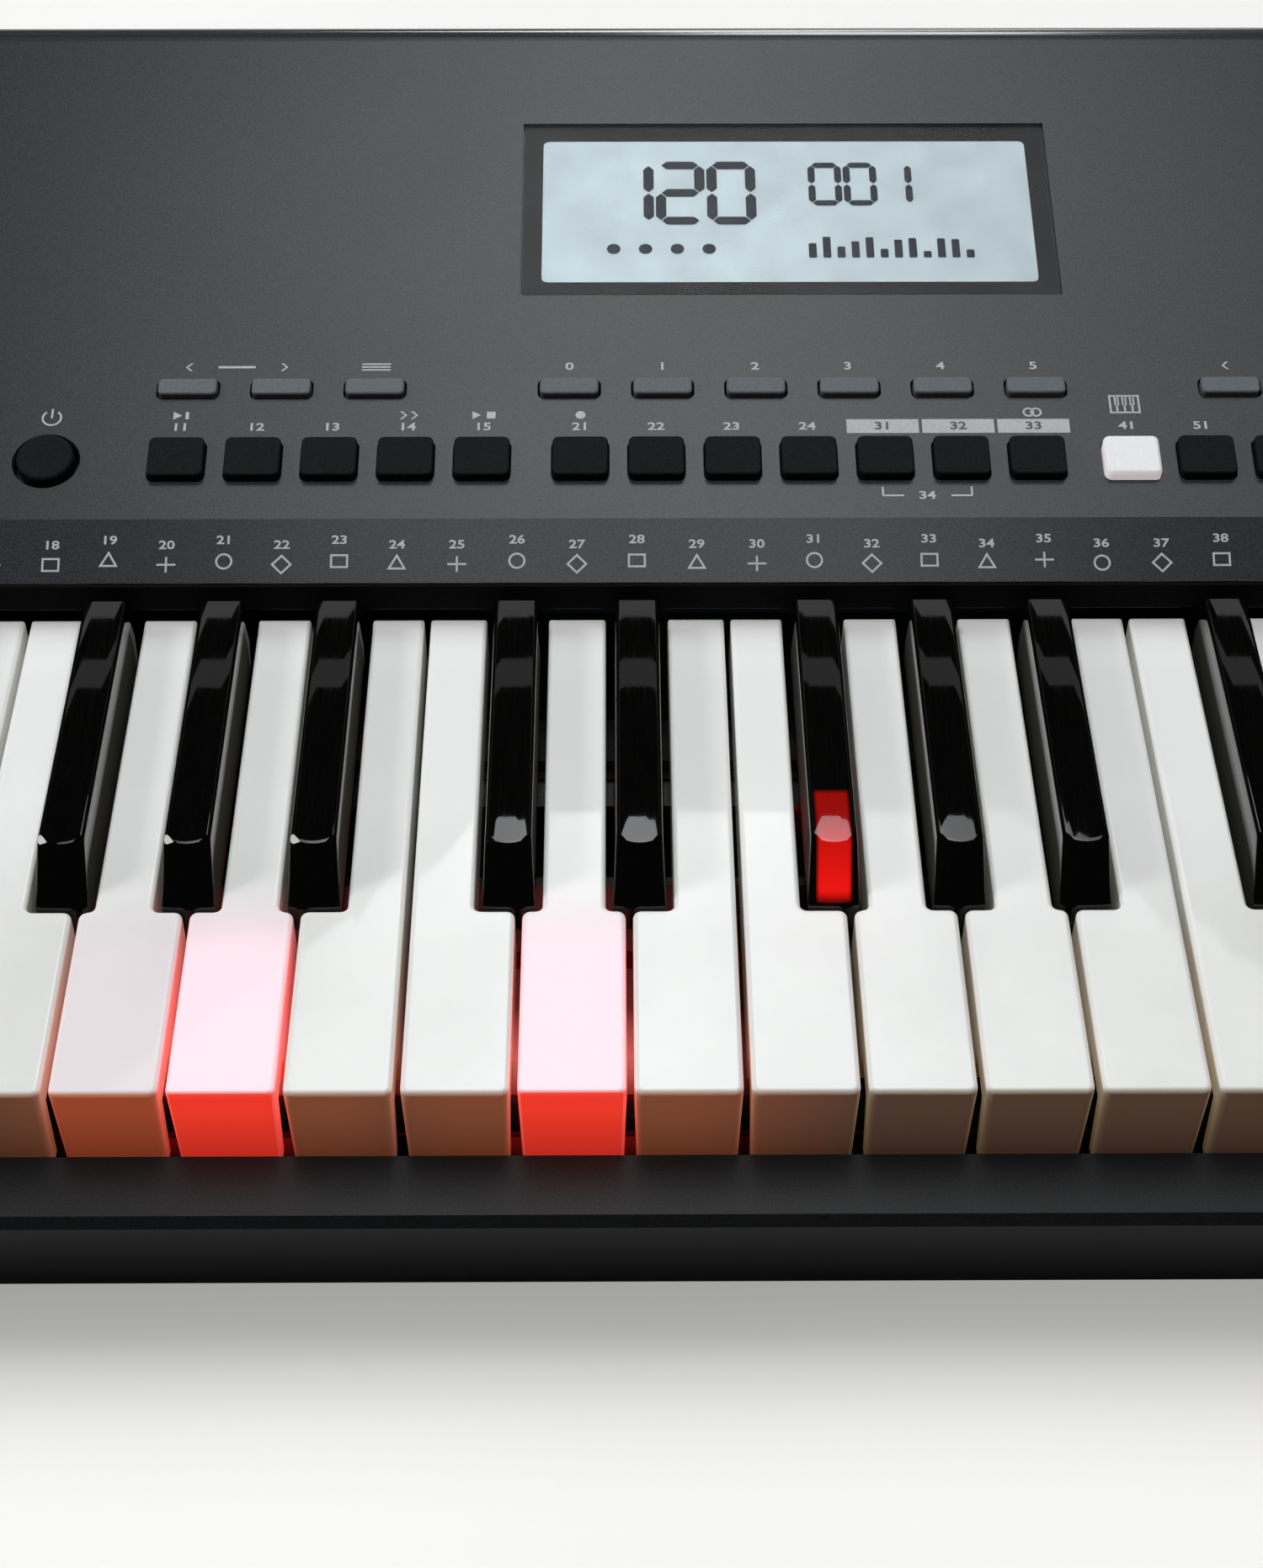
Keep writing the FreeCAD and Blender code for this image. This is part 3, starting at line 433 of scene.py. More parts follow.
def polished_white_abs(name, lit=0.0):
    """White ABS from a polished tool: glossy, a little translucent, with a mottled tone. Its top is painted
    lighter towards the rear, where the necks lie in shade, and its front face is painted a darker, warmer
    white for shade.
    The upright faces near the front get a dim brown painted glow, for daylight that passes through from the
    top, painted redder beside a lit key. A lit key has a red lamp inside, whose light is painted on the key:
    its front shines, its sides glow near the front, and its top is painted pink there, so much that the gloss
    hardly shows."""
    material, tree, place = new_surface(name)
    z = add(tree, "ShaderNodeSeparateXYZ", {"Vector": place}).outputs["Z"]
    normal = add(tree, "ShaderNodeNewGeometry").outputs["Normal"]
    facing = add(tree, "ShaderNodeSeparateXYZ", {"Vector": normal}).outputs
    smudge = add(tree, "ShaderNodeTexNoise", {"Vector": place, "Scale": 1 / (30 * MM), "Detail": 3.0})
    rough = add(tree, "ShaderNodeMapRange", {"Value": smudge, **span(0.0, 1.0, 0.01, 0.05)})
    mottled_top = tinted(tree, smudge, "#e6e7e5", "#edeeec")
    # Painted light: the top is painted lighter towards the rear, where the necks lie in shade
    rear_painted_light = along_key(tree, place, 40 * MM, 80 * MM, 0.0, 1.0)
    neck_painted_light_colour = linear("#f6f7f6")
    top = add(tree, "ShaderNodeMix", {"Factor": rear_painted_light, "A": mottled_top, "B": neck_painted_light_colour}, data_type="RGBA")

    # Masks of the painted glow on the upright faces near the front and along the sides
    front_face = add(tree, "ShaderNodeMapRange", {"Value": facing["Y"], **span(-0.3, -0.8)})
    aside = add(tree, "ShaderNodeMath", {0: facing["X"]}, operation="ABSOLUTE")
    side_face = add(tree, "ShaderNodeMapRange", {"Value": aside, **span(0.3, 0.8)})
    upward = add(tree, "ShaderNodeMapRange", {"Value": z, **span(key_front.z, white_z - 6 * MM, 0.47, 0.9)})
    shallow = add(tree, "ShaderNodeMapRange", {"Value": z, **span(white_z - 12 * MM, white_z, 0.1, 1.0)})
    ahead = along_key(tree, place, 2 * MM, 45 * MM, 1.0, 0.5)
    plate_side = along_key(tree, place, 3 * MM, 6 * MM, 1.0, 0.0)
    rearward = along_key(tree, place, 38 * MM, 56 * MM, 0.0, 1.0)
    neck_hue = linear("#55544b")
    front_glow = add(tree, "ShaderNodeMath", {0: front_face, 1: upward}, operation="MULTIPLY")
    skirt_light = add(tree, "ShaderNodeMath", {0: shallow, 1: ahead}, operation="MULTIPLY")
    plate_light = add(tree, "ShaderNodeMath", {0: plate_side, 1: upward}, operation="MULTIPLY")
    side_light = add(tree, "ShaderNodeMath", {0: skirt_light, 1: plate_light}, operation="MAXIMUM")
    side_glow = add(tree, "ShaderNodeMath", {0: side_face, 1: side_light}, operation="MULTIPLY")
    glow = add(tree, "ShaderNodeMath", {0: front_glow, 1: side_glow}, operation="MAXIMUM")

    if lit:
        # Painted lamp light: a red or tan front, a glowing front and sides, and a pink top near the front
        front_painted_colour, lamp_colour = ("#a8382a", "#f23a2a") if lit == 1.0 else ("#c4a684", "#e65a30")
        head = along_key(tree, place, 36 * MM, 56 * MM, lit, 0.0)
        top = add(tree, "ShaderNodeMix", {"Factor": head, "A": top, "B": linear("#f2dfea")}, data_type="RGBA")
        gloss = add(tree, "ShaderNodeMapRange", {"Value": head, **span(0.0, 1.0, 0.5, 0.12)})
        upright = add(tree, "ShaderNodeMath", {0: front_face, 1: side_face}, operation="MAXIMUM")
        lamp_hue = tinted(tree, upright, "#ffc8c7", lamp_colour, 0.0, 1.0)
        hue = add(tree, "ShaderNodeMix", {"Factor": rearward, "A": lamp_hue, "B": neck_hue}, data_type="RGBA")
        level = add(tree, "ShaderNodeMapRange", {"Value": rearward, **span(0.0, 1.0, lit, 1.0)})
        shine = add(tree, "ShaderNodeMath", {0: glow, 1: level}, operation="MULTIPLY")
        top_painted_lamp_light = add(tree, "ShaderNodeMath", {0: head, 1: 0.24 * lit}, operation="MULTIPLY")
        strength = add(tree, "ShaderNodeMath", {0: shine, 1: top_painted_lamp_light}, operation="MAXIMUM")
    else:
        # Painted shade on the front face, and a brown painted glow on the uprights, redder near the lamps of
        # the lit keys
        front_painted_colour = "#d0c6ba"
        gloss = 0.5
        forward = along_key(tree, place, 2 * MM, 40 * MM, 1.0, 0.0)
        lamps = lamp_light(tree, place, 60 * MM)
        spill = add(tree, "ShaderNodeMath", {0: lamps, 1: forward}, operation="MULTIPLY")
        front_hue = tinted(tree, spill, "#381900", "#722f00", 0.0, 0.6)
        head_hue = tinted(tree, spill, "#4f3d20", "#87412b", 0.0, 0.6)
        side_hue = add(tree, "ShaderNodeMix", {"Factor": rearward, "A": head_hue, "B": neck_hue},
                       data_type="RGBA")
        hue = add(tree, "ShaderNodeMix", {"Factor": side_face, "A": front_hue, "B": side_hue},
                  data_type="RGBA")
        strength = glow
    # The front face takes its painted colour: shade for a plain key, lamp light for a glowing one
    colour = add(tree, "ShaderNodeMix", {"Factor": front_face, "A": top, "B": linear(front_painted_colour)},
                 data_type="RGBA")
    close_surface(tree, {"Base Color": colour, "Roughness": rough, "IOR": 1.5, "Specular IOR Level": gloss,
                         "Emission Color": hue, "Emission Strength": strength})
    return material


def polished_black_abs(name, lit_key=None):
    """Black ABS from a mirror-polished tool: deep gloss with a few hairline wipe marks.
    The lit key has a smoked window in its nose with a red lamp behind it."""
    material, tree, place = new_surface(name)
    stretched = add(tree, "ShaderNodeMapping", {"Vector": place, "Scale": (1.0, 0.06, 1.0)})
    wipe = add(tree, "ShaderNodeTexNoise", {"Vector": stretched, "Scale": 1 / (0.5 * MM), "Detail": 2.0})
    rough = add(tree, "ShaderNodeMapRange", {"Value": wipe, **span(0.0, 1.0, 0.0, 0.035)})
    emission = lamp_window(tree, place, lit_key) if lit_key else {}
    colour = tinted(tree, wipe, "#010101", "#050505")
    close_surface(tree, {"Base Color": colour, "Roughness": rough, "IOR": 1.5, **emission})
    return material


def printed_ink(name, dark, light):
    """Pad-printed ink: matt, with the slight unevenness of a thin coat."""
    material, tree, place = new_surface(name)
    coat = add(tree, "ShaderNodeTexNoise", {"Vector": place, "Scale": 1 / (0.6 * MM), "Detail": 2.0})
    close_surface(tree, {"Base Color": tinted(tree, coat, dark, light), "Roughness": 0.6, "IOR": 1.45})
    return material


def moulded_rubber(name, dark, light):
    """Moulded rubber: dull, with a fine bloom."""
    material, tree, place = new_surface(name)
    bloom = add(tree, "ShaderNodeTexNoise", {"Vector": place, "Scale": 1 / (1.2 * MM), "Detail": 4.0})
    bump = add(tree, "ShaderNodeBump", {"Height": bloom, "Strength": 0.2, "Distance": 0.05 * MM})
    close_surface(tree, {"Base Color": tinted(tree, bloom, dark, light), "Roughness": 0.75, "Normal": bump,
                         "IOR": 1.5})
    return material


def smoked_acrylic(name):
    """Cast acrylic sheet with a light smoke tint: nearly clear, with faint smears a thumb wide."""
    material, tree, place = new_surface(name)
    smear = add(tree, "ShaderNodeTexNoise", {"Vector": place, "Scale": 1 / (12 * MM), "Detail": 3.0})
    haze = add(tree, "ShaderNodeMapRange", {"Value": smear, **span(0.3, 0.7, 0.06, 0.12)})
    colour = tinted(tree, smear, "#1a1d20", "#24282b")
    close_surface(tree, {"Base Color": colour, "Roughness": 0.08, "IOR": 1.49, "Alpha": haze})
    return material


def backlit_glass(name):
    """Liquid-crystal glass over an edge-lit diffuser: a pale even glow, a little brighter at one side."""
    material, tree, place = new_surface(name)
    cell = add(tree, "ShaderNodeTexChecker", {"Vector": place, "Scale": 1 / (0.4 * MM),
                                              "Color1": linear("#aebcc2"), "Color2": linear("#b7c5ca")})
    x = add(tree, "ShaderNodeSeparateXYZ", {"Vector": place}).outputs["X"]
    glow = add(tree, "ShaderNodeMapRange", {"Value": x, **span(-80 * MM, 70 * MM, 0.42, 0.3)})
    close_surface(tree, {"Base Color": cell, "Roughness": 0.25, "Emission Color": linear("#b9d3df"),
                         "Emission Strength": glow})
    return material


def drawn_steel(name, dark, light):
    """Drawn or pressed steel: fine lines along the draw."""
    material, tree, place = new_surface(name)
    stretched = add(tree, "ShaderNodeMapping", {"Vector": place, "Scale": (0.02, 1.0, 1.0)})
    lines = add(tree, "ShaderNodeTexNoise", {"Vector": stretched, "Scale": 1 / (0.2 * MM), "Detail": 2.0})
    rough = add(tree, "ShaderNodeMapRange", {"Value": lines, **span(0.0, 1.0, 0.2, 0.4)})
    close_surface(tree, {"Base Color": tinted(tree, lines, dark, light), "Roughness": rough, "Metallic": 1.0})
    return material


def pressed_felt(name, dark, light):
    """Pressed wool felt or flock: matted fibres with no gloss."""
    material, tree, place = new_surface(name)
    fibre = add(tree, "ShaderNodeTexNoise", {"Vector": place, "Scale": 1 / (0.4 * MM), "Detail": 6.0})
    bump = add(tree, "ShaderNodeBump", {"Height": fibre, "Strength": 0.8, "Distance": 0.2 * MM})
    close_surface(tree, {"Base Color": tinted(tree, fibre, dark, light), "Roughness": 0.95, "Normal": bump,
                         "Specular IOR Level": 0.05})
    return material


def solder_mask_board(name, mask, shade, track, glow=None):
    """Glass-fibre board under solder mask: satin, with paler tracks.
    A function can add the glow of its lamps."""
    material, tree, place = new_surface(name)
    tracks = add(tree, "ShaderNodeTexBrick", {"Vector": place, "Scale": 1 / (6 * MM), "Mortar Size": 0.06,
                                              "Color1": linear(mask), "Color2": linear(shade),
                                              "Mortar": linear(track)})
    emission = glow(tree, place) if glow else {}
    close_surface(tree, {"Base Color": tracks, "Roughness": 0.4, "IOR": 1.5, **emission})
    return material


def paper_cone(name):
    """Pressed paper pulp cone and black basket: dull and fibrous."""
    material, tree, place = new_surface(name)
    fibre = add(tree, "ShaderNodeTexNoise", {"Vector": place, "Scale": 1 / (0.8 * MM), "Detail": 5.0})
    bump = add(tree, "ShaderNodeBump", {"Height": fibre, "Strength": 0.4, "Distance": 0.1 * MM})
    colour = tinted(tree, fibre, "#101011", "#242425")
    close_surface(tree, {"Base Color": colour, "Roughness": 0.85, "Normal": bump})
    return material


# The grain of these mouldings is about 0.1 mm; it is drawn four to six times coarser so that it shows
panel_abs = spark_textured_abs("spark_textured_abs_panel", "#212325", "#383b3e", 0.40 * MM, 0.25, 0.26)
base_abs = spark_textured_abs("spark_textured_abs_base", "#0f1011", "#1c1e20", 0.45 * MM, 0.42, 0.2)
grille_abs = spark_textured_abs("spark_textured_abs_grille", "#1a1b1d", "#2c2e30", 0.40 * MM, 0.45, 0.3)
black_cap_abs = spark_textured_abs("spark_textured_abs_black_caps", "#0b0e0f", "#191d1f", 0.45 * MM, 0.7, 0.1)
grey_cap_abs = spark_textured_abs("spark_textured_abs_grey_caps", "#585e62", "#686e73", 0.45 * MM, 0.6, 0.3)
# The pale cap's sides get a painted glow for light that passes through from its top
white_cap_abs = spark_textured_abs("spark_textured_abs_white_cap", "#ededf0", "#f8f8fa", 0.45 * MM, 0.4, 0.3,
                                   glow=cap_leak)
chassis_abs = spark_textured_abs("spark_textured_abs_chassis", "#060606", "#0e0e0e", 0.6 * MM, 0.7, 0.1)
lit_chassis_abs = spark_textured_abs("spark_textured_abs_lit_chassis", "#060606", "#0e0e0e", 0.6 * MM, 0.7,
                                     0.1, glow=lamp_spill)

# Keys, inks, rubbers, display, metals, felts, boards and speakers
white_key_abs = polished_white_abs("polished_white_abs")
black_key_abs = polished_black_abs("polished_black_abs")
light_ink = printed_ink("pad_printed_light_ink", "#a9adad", "#bcc0c0")
dark_ink = printed_ink("pad_printed_dark_ink", "#4b4e50", "#5a5d5f")
mask_ink = printed_ink("black_mask_ink", "#070708", "#0e0e0f")
segment_ink = printed_ink("liquid_crystal_segments", "#14202b", "#1d2b37")
foot_rubber = moulded_rubber("moulded_rubber_feet", "#151515", "#232323")
contact_rubber = moulded_rubber("moulded_silicone_contacts", "#1b1b1b", "#262626")
window_acrylic = smoked_acrylic("smoked_cast_acrylic")
display_glass = backlit_glass("backlit_display_glass")
rod_steel = drawn_steel("drawn_steel_rod", "#8d8f92", "#b3b5b8")
contact_steel = drawn_steel("nickel_plated_steel", "#a5a29b", "#c9c6be")
stop_felt = pressed_felt("pressed_wool_felt", "#5a1a1c", "#8a2e2e")
strip_flock = pressed_felt("black_flock", "#0d0d0d", "#191919")
green_board = solder_mask_board("green_solder_mask_board", "#0f4a2b", "#125232", "#2c7a4e")
black_board = solder_mask_board("black_solder_mask_board", "#0b0b0c", "#0e0e0f", "#1c1c1d")
lamp_strip_board = solder_mask_board("black_solder_mask_lamp_board", "#0b0b0c", "#0e0e0f", "#1c1c1d",
                                     glow=board_lamps)
speaker_cone = paper_cone("pressed_paper_cone")


# White keys
def white_plan(solid):
    """Square corners of a white key's plan, anticlockwise from the front left, and the radius of each."""
    top_z = max(p.z for p in solid)
    top = [p for p in solid if p.z > top_z - TOUCH]
    front = min(p.y for p in solid)
    end = max(p.y for p in top)
    left = min(p.x for p in top) + WHITE_TRIM
    right = max(p.x for p in top) - WHITE_TRIM
    neck = [p.x for p in top if p.y > end - TOUCH]
    neck_left = max(min(neck), left)
    neck_right = min(max(neck), right)
    between = [p.y for p in top if front + WHITE_NOTCH_CLEAR < p.y < end - WHITE_NOTCH_CLEAR]
    notch = min(between) if between else end
    corners = [(left, front), (right, front)]
    radii = [WHITE_FRONT_CORNER] * 2
    if neck_right < right - MM:
        corners += [(right, notch), (neck_right, notch)]
        radii += [WHITE_SHOULDER, -WHITE_NOTCH]
    corners += [(neck_right, end + TAIL_REACH), (neck_left, end + TAIL_REACH)]
    radii += [WHITE_TAIL_CORNER] * 2
    if neck_left > left + MM:
        corners += [(neck_left, notch), (left, notch)]
        radii += [-WHITE_NOTCH, WHITE_SHOULDER]
    return [Vector(c) for c in corners], radii


def white_ring(corners, radii, inset):
    """Rounded outline at an inset: the front with the ends of its plate, then the rest of the key."""
    moved = shrunk(corners, inset)
    softened = [max(r - inset, 0.05 * MM) if r > 0 else inset - r for r in radii]
    points = rounded_outline(moved, softened)
    steps = len(points) // len(corners)
    back = corners[0].y + WHITE_FRONT_WALL
    ends = [Vector((moved[0].x, back)), Vector((moved[1].x, back))]
    return ends[:1] + points[:2 * steps] + ends[1:], points[2 * steps:]


def white_brim(corners, radii, inset, top_z):
    """Lower edge of a key's walls behind its front plate, higher where the stop beam passes."""
    fronts, rest = white_ring(corners, radii, inset)
    start = fronts[0].y
    end = corners[0].y + BEAM_NOTCH_END
    side_z = top_z - WHITE_SIDE_DEPTH
    notch_z = top_z - BEAM_NOTCH_DROP
    right = [(fronts[-1].x, y, z) for y, z in ((start, notch_z), (end, notch_z), (end, side_z))]
    left = [(fronts[0].x, y, z) for y, z in ((end, side_z), (end, notch_z), (start, notch_z))]
    return right + [(p.x, p.y, side_z) for p in rest] + left


def add_wall(bm, brim, high):
    """Upright wall from a lower edge with the beam's notches up to a level one."""
    bm.faces.new(brim[:4] + [high[1], high[0]])
    for i in range(1, len(high) - 2):
        bm.faces.new((brim[i + 2], brim[i + 3], high[i + 1], high[i]))
    bm.faces.new(brim[-4:] + [high[-1], high[-2]])


def add_white_key(bm, solid):
    """Hollow key with a rounded top edge, upright sides and a deeper front plate with a little draft."""
    corners, radii = white_plan(solid)
    top_z = max(p.z for p in solid)
    foot_z = min(p.z for p in solid)
    loops = []
    for inset, height in edge_rings(top_z, WHITE_EDGE):
        fronts, rest = white_ring(corners, radii, inset)
        loops.append([bm.verts.new((p.x, p.y, height)) for p in fronts + rest])
    count = len(loops[0])
    for low, high in zip(loops, loops[1:]):
        for i in range(count):
            j = (i + 1) % count
            bm.faces.new((low[i], low[j], high[j], high[i]))
    bm.faces.new(loops[-1])
    rim = loops[0]
    fronts = white_ring(corners, radii, 0.0)[0]
    last = len(fronts) - 1
    middle = (corners[0].x + corners[1].x) / 2
    narrow = 1 - 2 * WHITE_FRONT_DRAFT / (corners[1].x - corners[0].x)
    plate = [bm.verts.new((middle + (p.x - middle) * narrow, p.y, foot_z)) for p in fronts]
    outer = [bm.verts.new(p) for p in white_brim(corners, radii, 0.0, top_z)]
    inner = [bm.verts.new(p) for p in white_brim(corners, radii, WHITE_WALL, top_z)]
    fronts, rest = white_ring(corners, radii, WHITE_WALL)
    roof = [bm.verts.new((p.x, p.y, top_z - WHITE_PLATE)) for p in fronts[-1:] + rest + fronts[:1]]
    bm.faces.new((plate[0], plate[1], rim[1], rim[0], outer[-1]))
    for i in range(1, last - 1):
        bm.faces.new((plate[i], plate[i + 1], rim[i + 1], rim[i]))
    bm.faces.new((plate[last - 1], plate[last], outer[0], rim[last], rim[last - 1]))
    bm.faces.new(plate[::-1])
    bm.faces.new((plate[-1], plate[0], outer[-1], inner[-1], inner[0], outer[0]))
    add_wall(bm, outer, rim[last:] + rim[:1])
    for i in range(len(outer) - 1):
        bm.faces.new((outer[i + 1], outer[i], inner[i], inner[i + 1]))
    add_wall(bm, inner, roof)
    bm.faces.new((inner[-1], inner[0], roof[0], roof[-1]))
    bm.faces.new(roof)


# Black keys
def black_section(x, half_base, half_top, base_z, top_z, low_z, corner):
    """Points over a black key from its left to its right foot, as x and z, with the bow share of each."""
    points = [(-half_base, low_z), (-half_base, base_z)]
    steps = 4
    for k in range(steps + 1):
        a = pi / 2 * k / steps
        points.append((-half_top + corner - corner * cos(a), top_z - corner + corner * sin(a)))
    flat = half_top - corner
    for k in range(1, 6):
        points.append((-flat + 2 * flat * k / 6, top_z))
    for px, pz in reversed(points[:steps + 3]):
        points.append((-px, pz))
    return [(x + px, pz, min(1.0, (px / half_top) ** 2)) for px, pz in points]


def add_black_key(bm, solid):
    """Tapered bar with a flat top, a bowed crease and a leaning front."""
    top_z = max(p.z for p in solid)
    tops = [p for p in solid if p.z > top_z - TOUCH]
    left = min(p.x for p in solid)
    right = max(p.x for p in solid)
    middle = (left + right) / 2
    half_base = (right - left) / 2 - BLACK_BASE_TRIM
    end = max(p.y for p in tops) + TAIL_REACH
    crease = min(p.y for p in tops)
    foot = min(p.y for p in solid)
    rise = top_z - white_z
    lean = (crease - foot) / rise
    reach = rise + BLACK_FOOT_DROP
    soft = BLACK_SOFT
    low_z = white_z - BLACK_SIDE_DEPTH
    # Along the key from its tail: y, drop below the top and share of the bow
    rows = [(end, 1.1 * MM, 0.0), (end - 0.25 * MM, 0.4 * MM, 0.0), (end - 1.0 * MM, 0.0, 0.0),
            (crease + 12 * MM, 0.0, 0.0), (crease + soft, 0.0, 1.0)]
    for share in (0.35, 0.7, 1.0):
        drop = soft * share
        lead = BLACK_SOFT_LEAD * soft * (1 - share)
        rows.append((crease + lead - lean * drop * share, drop * share, 1.0))
    for share in (0.4, 0.7, 0.9, 0.97):
        rows.append((crease - lean * reach * share, reach * share, 1.0))
    fall = BLACK_TOP_FALL / (end - crease)
    rows = [(y, drop + fall * max(0.0, y - crease - soft), weight) for y, drop, weight in rows]
    loops = []
    for y, drop, weight in rows:
        z = top_z - drop
        share = (z - white_z) / rise
        half_top = half_base + (BLACK_TOP_HALF - half_base) * max(0.0, share)
        base_z = min(white_z, z - BLACK_FOOT_EDGE)
        corner = min(BLACK_CORNER, 0.8 * (z - base_z))
        bow = weight * (BLACK_FOOT_BOW + (BLACK_CREASE_BOW - BLACK_FOOT_BOW) * max(0.0, share))
        section = black_section(middle, half_base, half_top, base_z, z, low_z, corner)
        loops.append([bm.verts.new((px, y + bow * part, pz)) for px, pz, part in section])
    section = black_section(middle, half_base, half_base, white_z, white_z + BLACK_FOOT_EDGE, low_z, 0.2 * MM)
    toe = crease - lean * reach
    loops.append([bm.verts.new((px, toe + BLACK_FOOT_BOW * part, low_z)) for px, pz, part in section])
    count = len(loops[0])
    for first, second in zip(loops, loops[1:]):
        for i in range(count - 1):
            bm.faces.new((first[i], first[i + 1], second[i + 1], second[i]))
    bm.faces.new(loops[0])
    lefts = [loop[0] for loop in loops[:-1]]
    rights = [loop[-1] for loop in loops[:-1]]
    bm.faces.new(lefts + loops[-1] + rights[::-1])
    for side in (-1, 1):
        across = BLACK_TOP_HALF - BLACK_FACET
        bow = BLACK_CREASE_BOW * (across / BLACK_TOP_HALF) ** 2
        corner = Vector((middle + side * across, crease + bow + BLACK_SOFT_LEAD * soft, top_z))
        facing = Vector((side * BLACK_FACET_FACING[0],) + BLACK_FACET_FACING[1:])
        key = bm.verts[:] + bm.edges[:] + bm.faces[:]
        cut = bmesh.ops.bisect_plane(bm, geom=key, plane_co=corner, plane_no=facing, clear_outer=True)
        rim = [part for part in cut["geom_cut"] if isinstance(part, bmesh.types.BMEdge)]
        bmesh.ops.holes_fill(bm, edges=rim)


white_nodes = sorted(n for n in nodes if n.startswith("white_"))
black_nodes = sorted(n for n in nodes if n.startswith("black_"))
for node in white_nodes:
    bm = bmesh.new()
    for solid in islands(node):
        add_white_key(bm, solid)
    lit = WHITE_KEY_GLOW.get(node, 0.0)
    glow_name = "polished_white_abs_painted_glow_" + node.removeprefix("white_")
    material = polished_white_abs(glow_name, lit) if lit else white_key_abs
    made = piece("dressed_" + node, bm, material, node)
    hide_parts(node)
for node in black_nodes:
    bm = bmesh.new()
    for solid in islands(node):
        single = bmesh.new()
        add_black_key(single, solid)
        key = bpy.data.meshes.new("key")
        single.to_mesh(key)
        single.free()
        bm.from_mesh(key)
        bpy.data.meshes.remove(key)
    lit = node == LIT_BLACK
    material = polished_black_abs("polished_black_abs_lit", node) if lit else black_key_abs
    made = piece("dressed_" + node, bm, material, node, crisp=24)
    facet = Vector(BLACK_FACET_FACING).normalized()
    for face in made.data.polygons:
        if Vector((abs(face.normal.x), face.normal.y, face.normal.z)).dot(facet) > cos(radians(0.5)):
            face.use_smooth = False
    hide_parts(node)


# Panel: x along the case and v up its slope from the strip's edge
press = next(j for j in frame["joints"] if j["name"] == "piano_button_press")["axis"]
panel_turn = Matrix.Rotation(atan2(press[1], -press[2]), 4, "X")
window_top = max((v.co for v in nodes["display_window"].data.vertices), key=lambda p: p.z)
flat = panel_turn.inverted()
on_face = [flat @ (v.co - window_top) for v in nodes["upper_case"].data.vertices]
edge_v = min(p.y for p in on_face if abs(p.z) < TOUCH)
panel_edge = window_top + panel_turn @ Vector((0, edge_v, 0))
edge_place = Matrix.Translation((0, panel_edge.y, panel_edge.z))
panel = edge_place @ panel_turn
flat_panel = panel.inverted()
strip_turn = Matrix.Rotation(STRIP_SLOPE, 4, "X")
strip = edge_place @ strip_turn @ Matrix.Translation((0, -STRIP_LENGTH, 0))


def at(origin, x, v):
    """Place on a slope at x and v from another place on it."""
    return origin @ Matrix.Translation((x, v, 0))


def cap_places(node):
    """Middle x and v, width, depth and rise of each button cap of a node."""
    caps = []
    for solid in islands(node):
        points = [flat_panel @ p for p in solid]
        cap = [p for p in points if p.z > CAP_ABOVE]
        x0, x1, v0, v1 = extent(cap)
        rise = max(p.z for p in cap)
        caps.append(((x0 + x1) / 2, (v0 + v1) / 2, x1 - x0, v1 - v0, rise))
    return caps


def dress_buttons(node, material, corner, edge, gap):
    """Caps with rounded corners and a soft upper edge, each in the rounded rim of its hole in the panel."""
    caps = bmesh.new()
    rims = bmesh.new()
    for x, v, width, depth, rise in cap_places(node):
        place = at(panel, x, v)
        outline = rounded_rect(width + 2 * (SQUARE_GAP - gap), depth + 2 * (SQUARE_GAP - gap), corner)
        add_loft(caps, outline, [(0, -CAP_ROOT)] + edge_rings(rise, edge), place)
        outer = rounded_rect(width + 2 * RIM_REACH, depth + 2 * RIM_REACH, corner)
        inner = rounded_rect(width + 2 * SQUARE_GAP, depth + 2 * SQUARE_GAP, corner + SQUARE_GAP)
        add_band(rims, outer, inner, -CAP_ROOT, RIM_PROUD, place)
    made = piece("dressed_" + node, caps, material, node)
    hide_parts(node)
    piece("rims_of_" + node, rims, panel_abs, "case")


for node in SQUARE_NODES:
    if node == "piano_button":
        dress_buttons(node, white_cap_abs, SQUARE_CORNER, PIANO_EDGE, SQUARE_GAP)
    else:
        dress_buttons(node, black_cap_abs, SQUARE_CORNER, SQUARE_EDGE, SQUARE_GAP)
for node in RECT_NODES:
    dress_buttons(node, grey_cap_abs, RECT_CORNER, RECT_EDGE, RECT_GAP)


def power_cap():
    """Round cap with a soft edge and a shallow dish."""
    x, v, width, depth, rise = cap_places("power_button")[0]
    place = at(panel, x, v)
    radius = width / 2
    bm = bmesh.new()
    dish = [(inset, rise - drop) for inset, drop in POWER_DISH]
    rings = [(0, -CAP_ROOT)] + edge_rings(rise, POWER_EDGE) + dish
    add_loft(bm, polygon(ROUND_SIDES, radius - POWER_GAP), rings, place)
    made = piece("dressed_power_button", bm, black_cap_abs, "power_button")
    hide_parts("power_button")
    rim = bmesh.new()
    outer = polygon(ROUND_SIDES, radius + RIM_REACH)
    inner = polygon(ROUND_SIDES, radius + SQUARE_GAP)
    add_band(rim, outer, inner, -CAP_ROOT, RIM_PROUD, place)
    piece("rim_of_power_button", rim, panel_abs, "case")


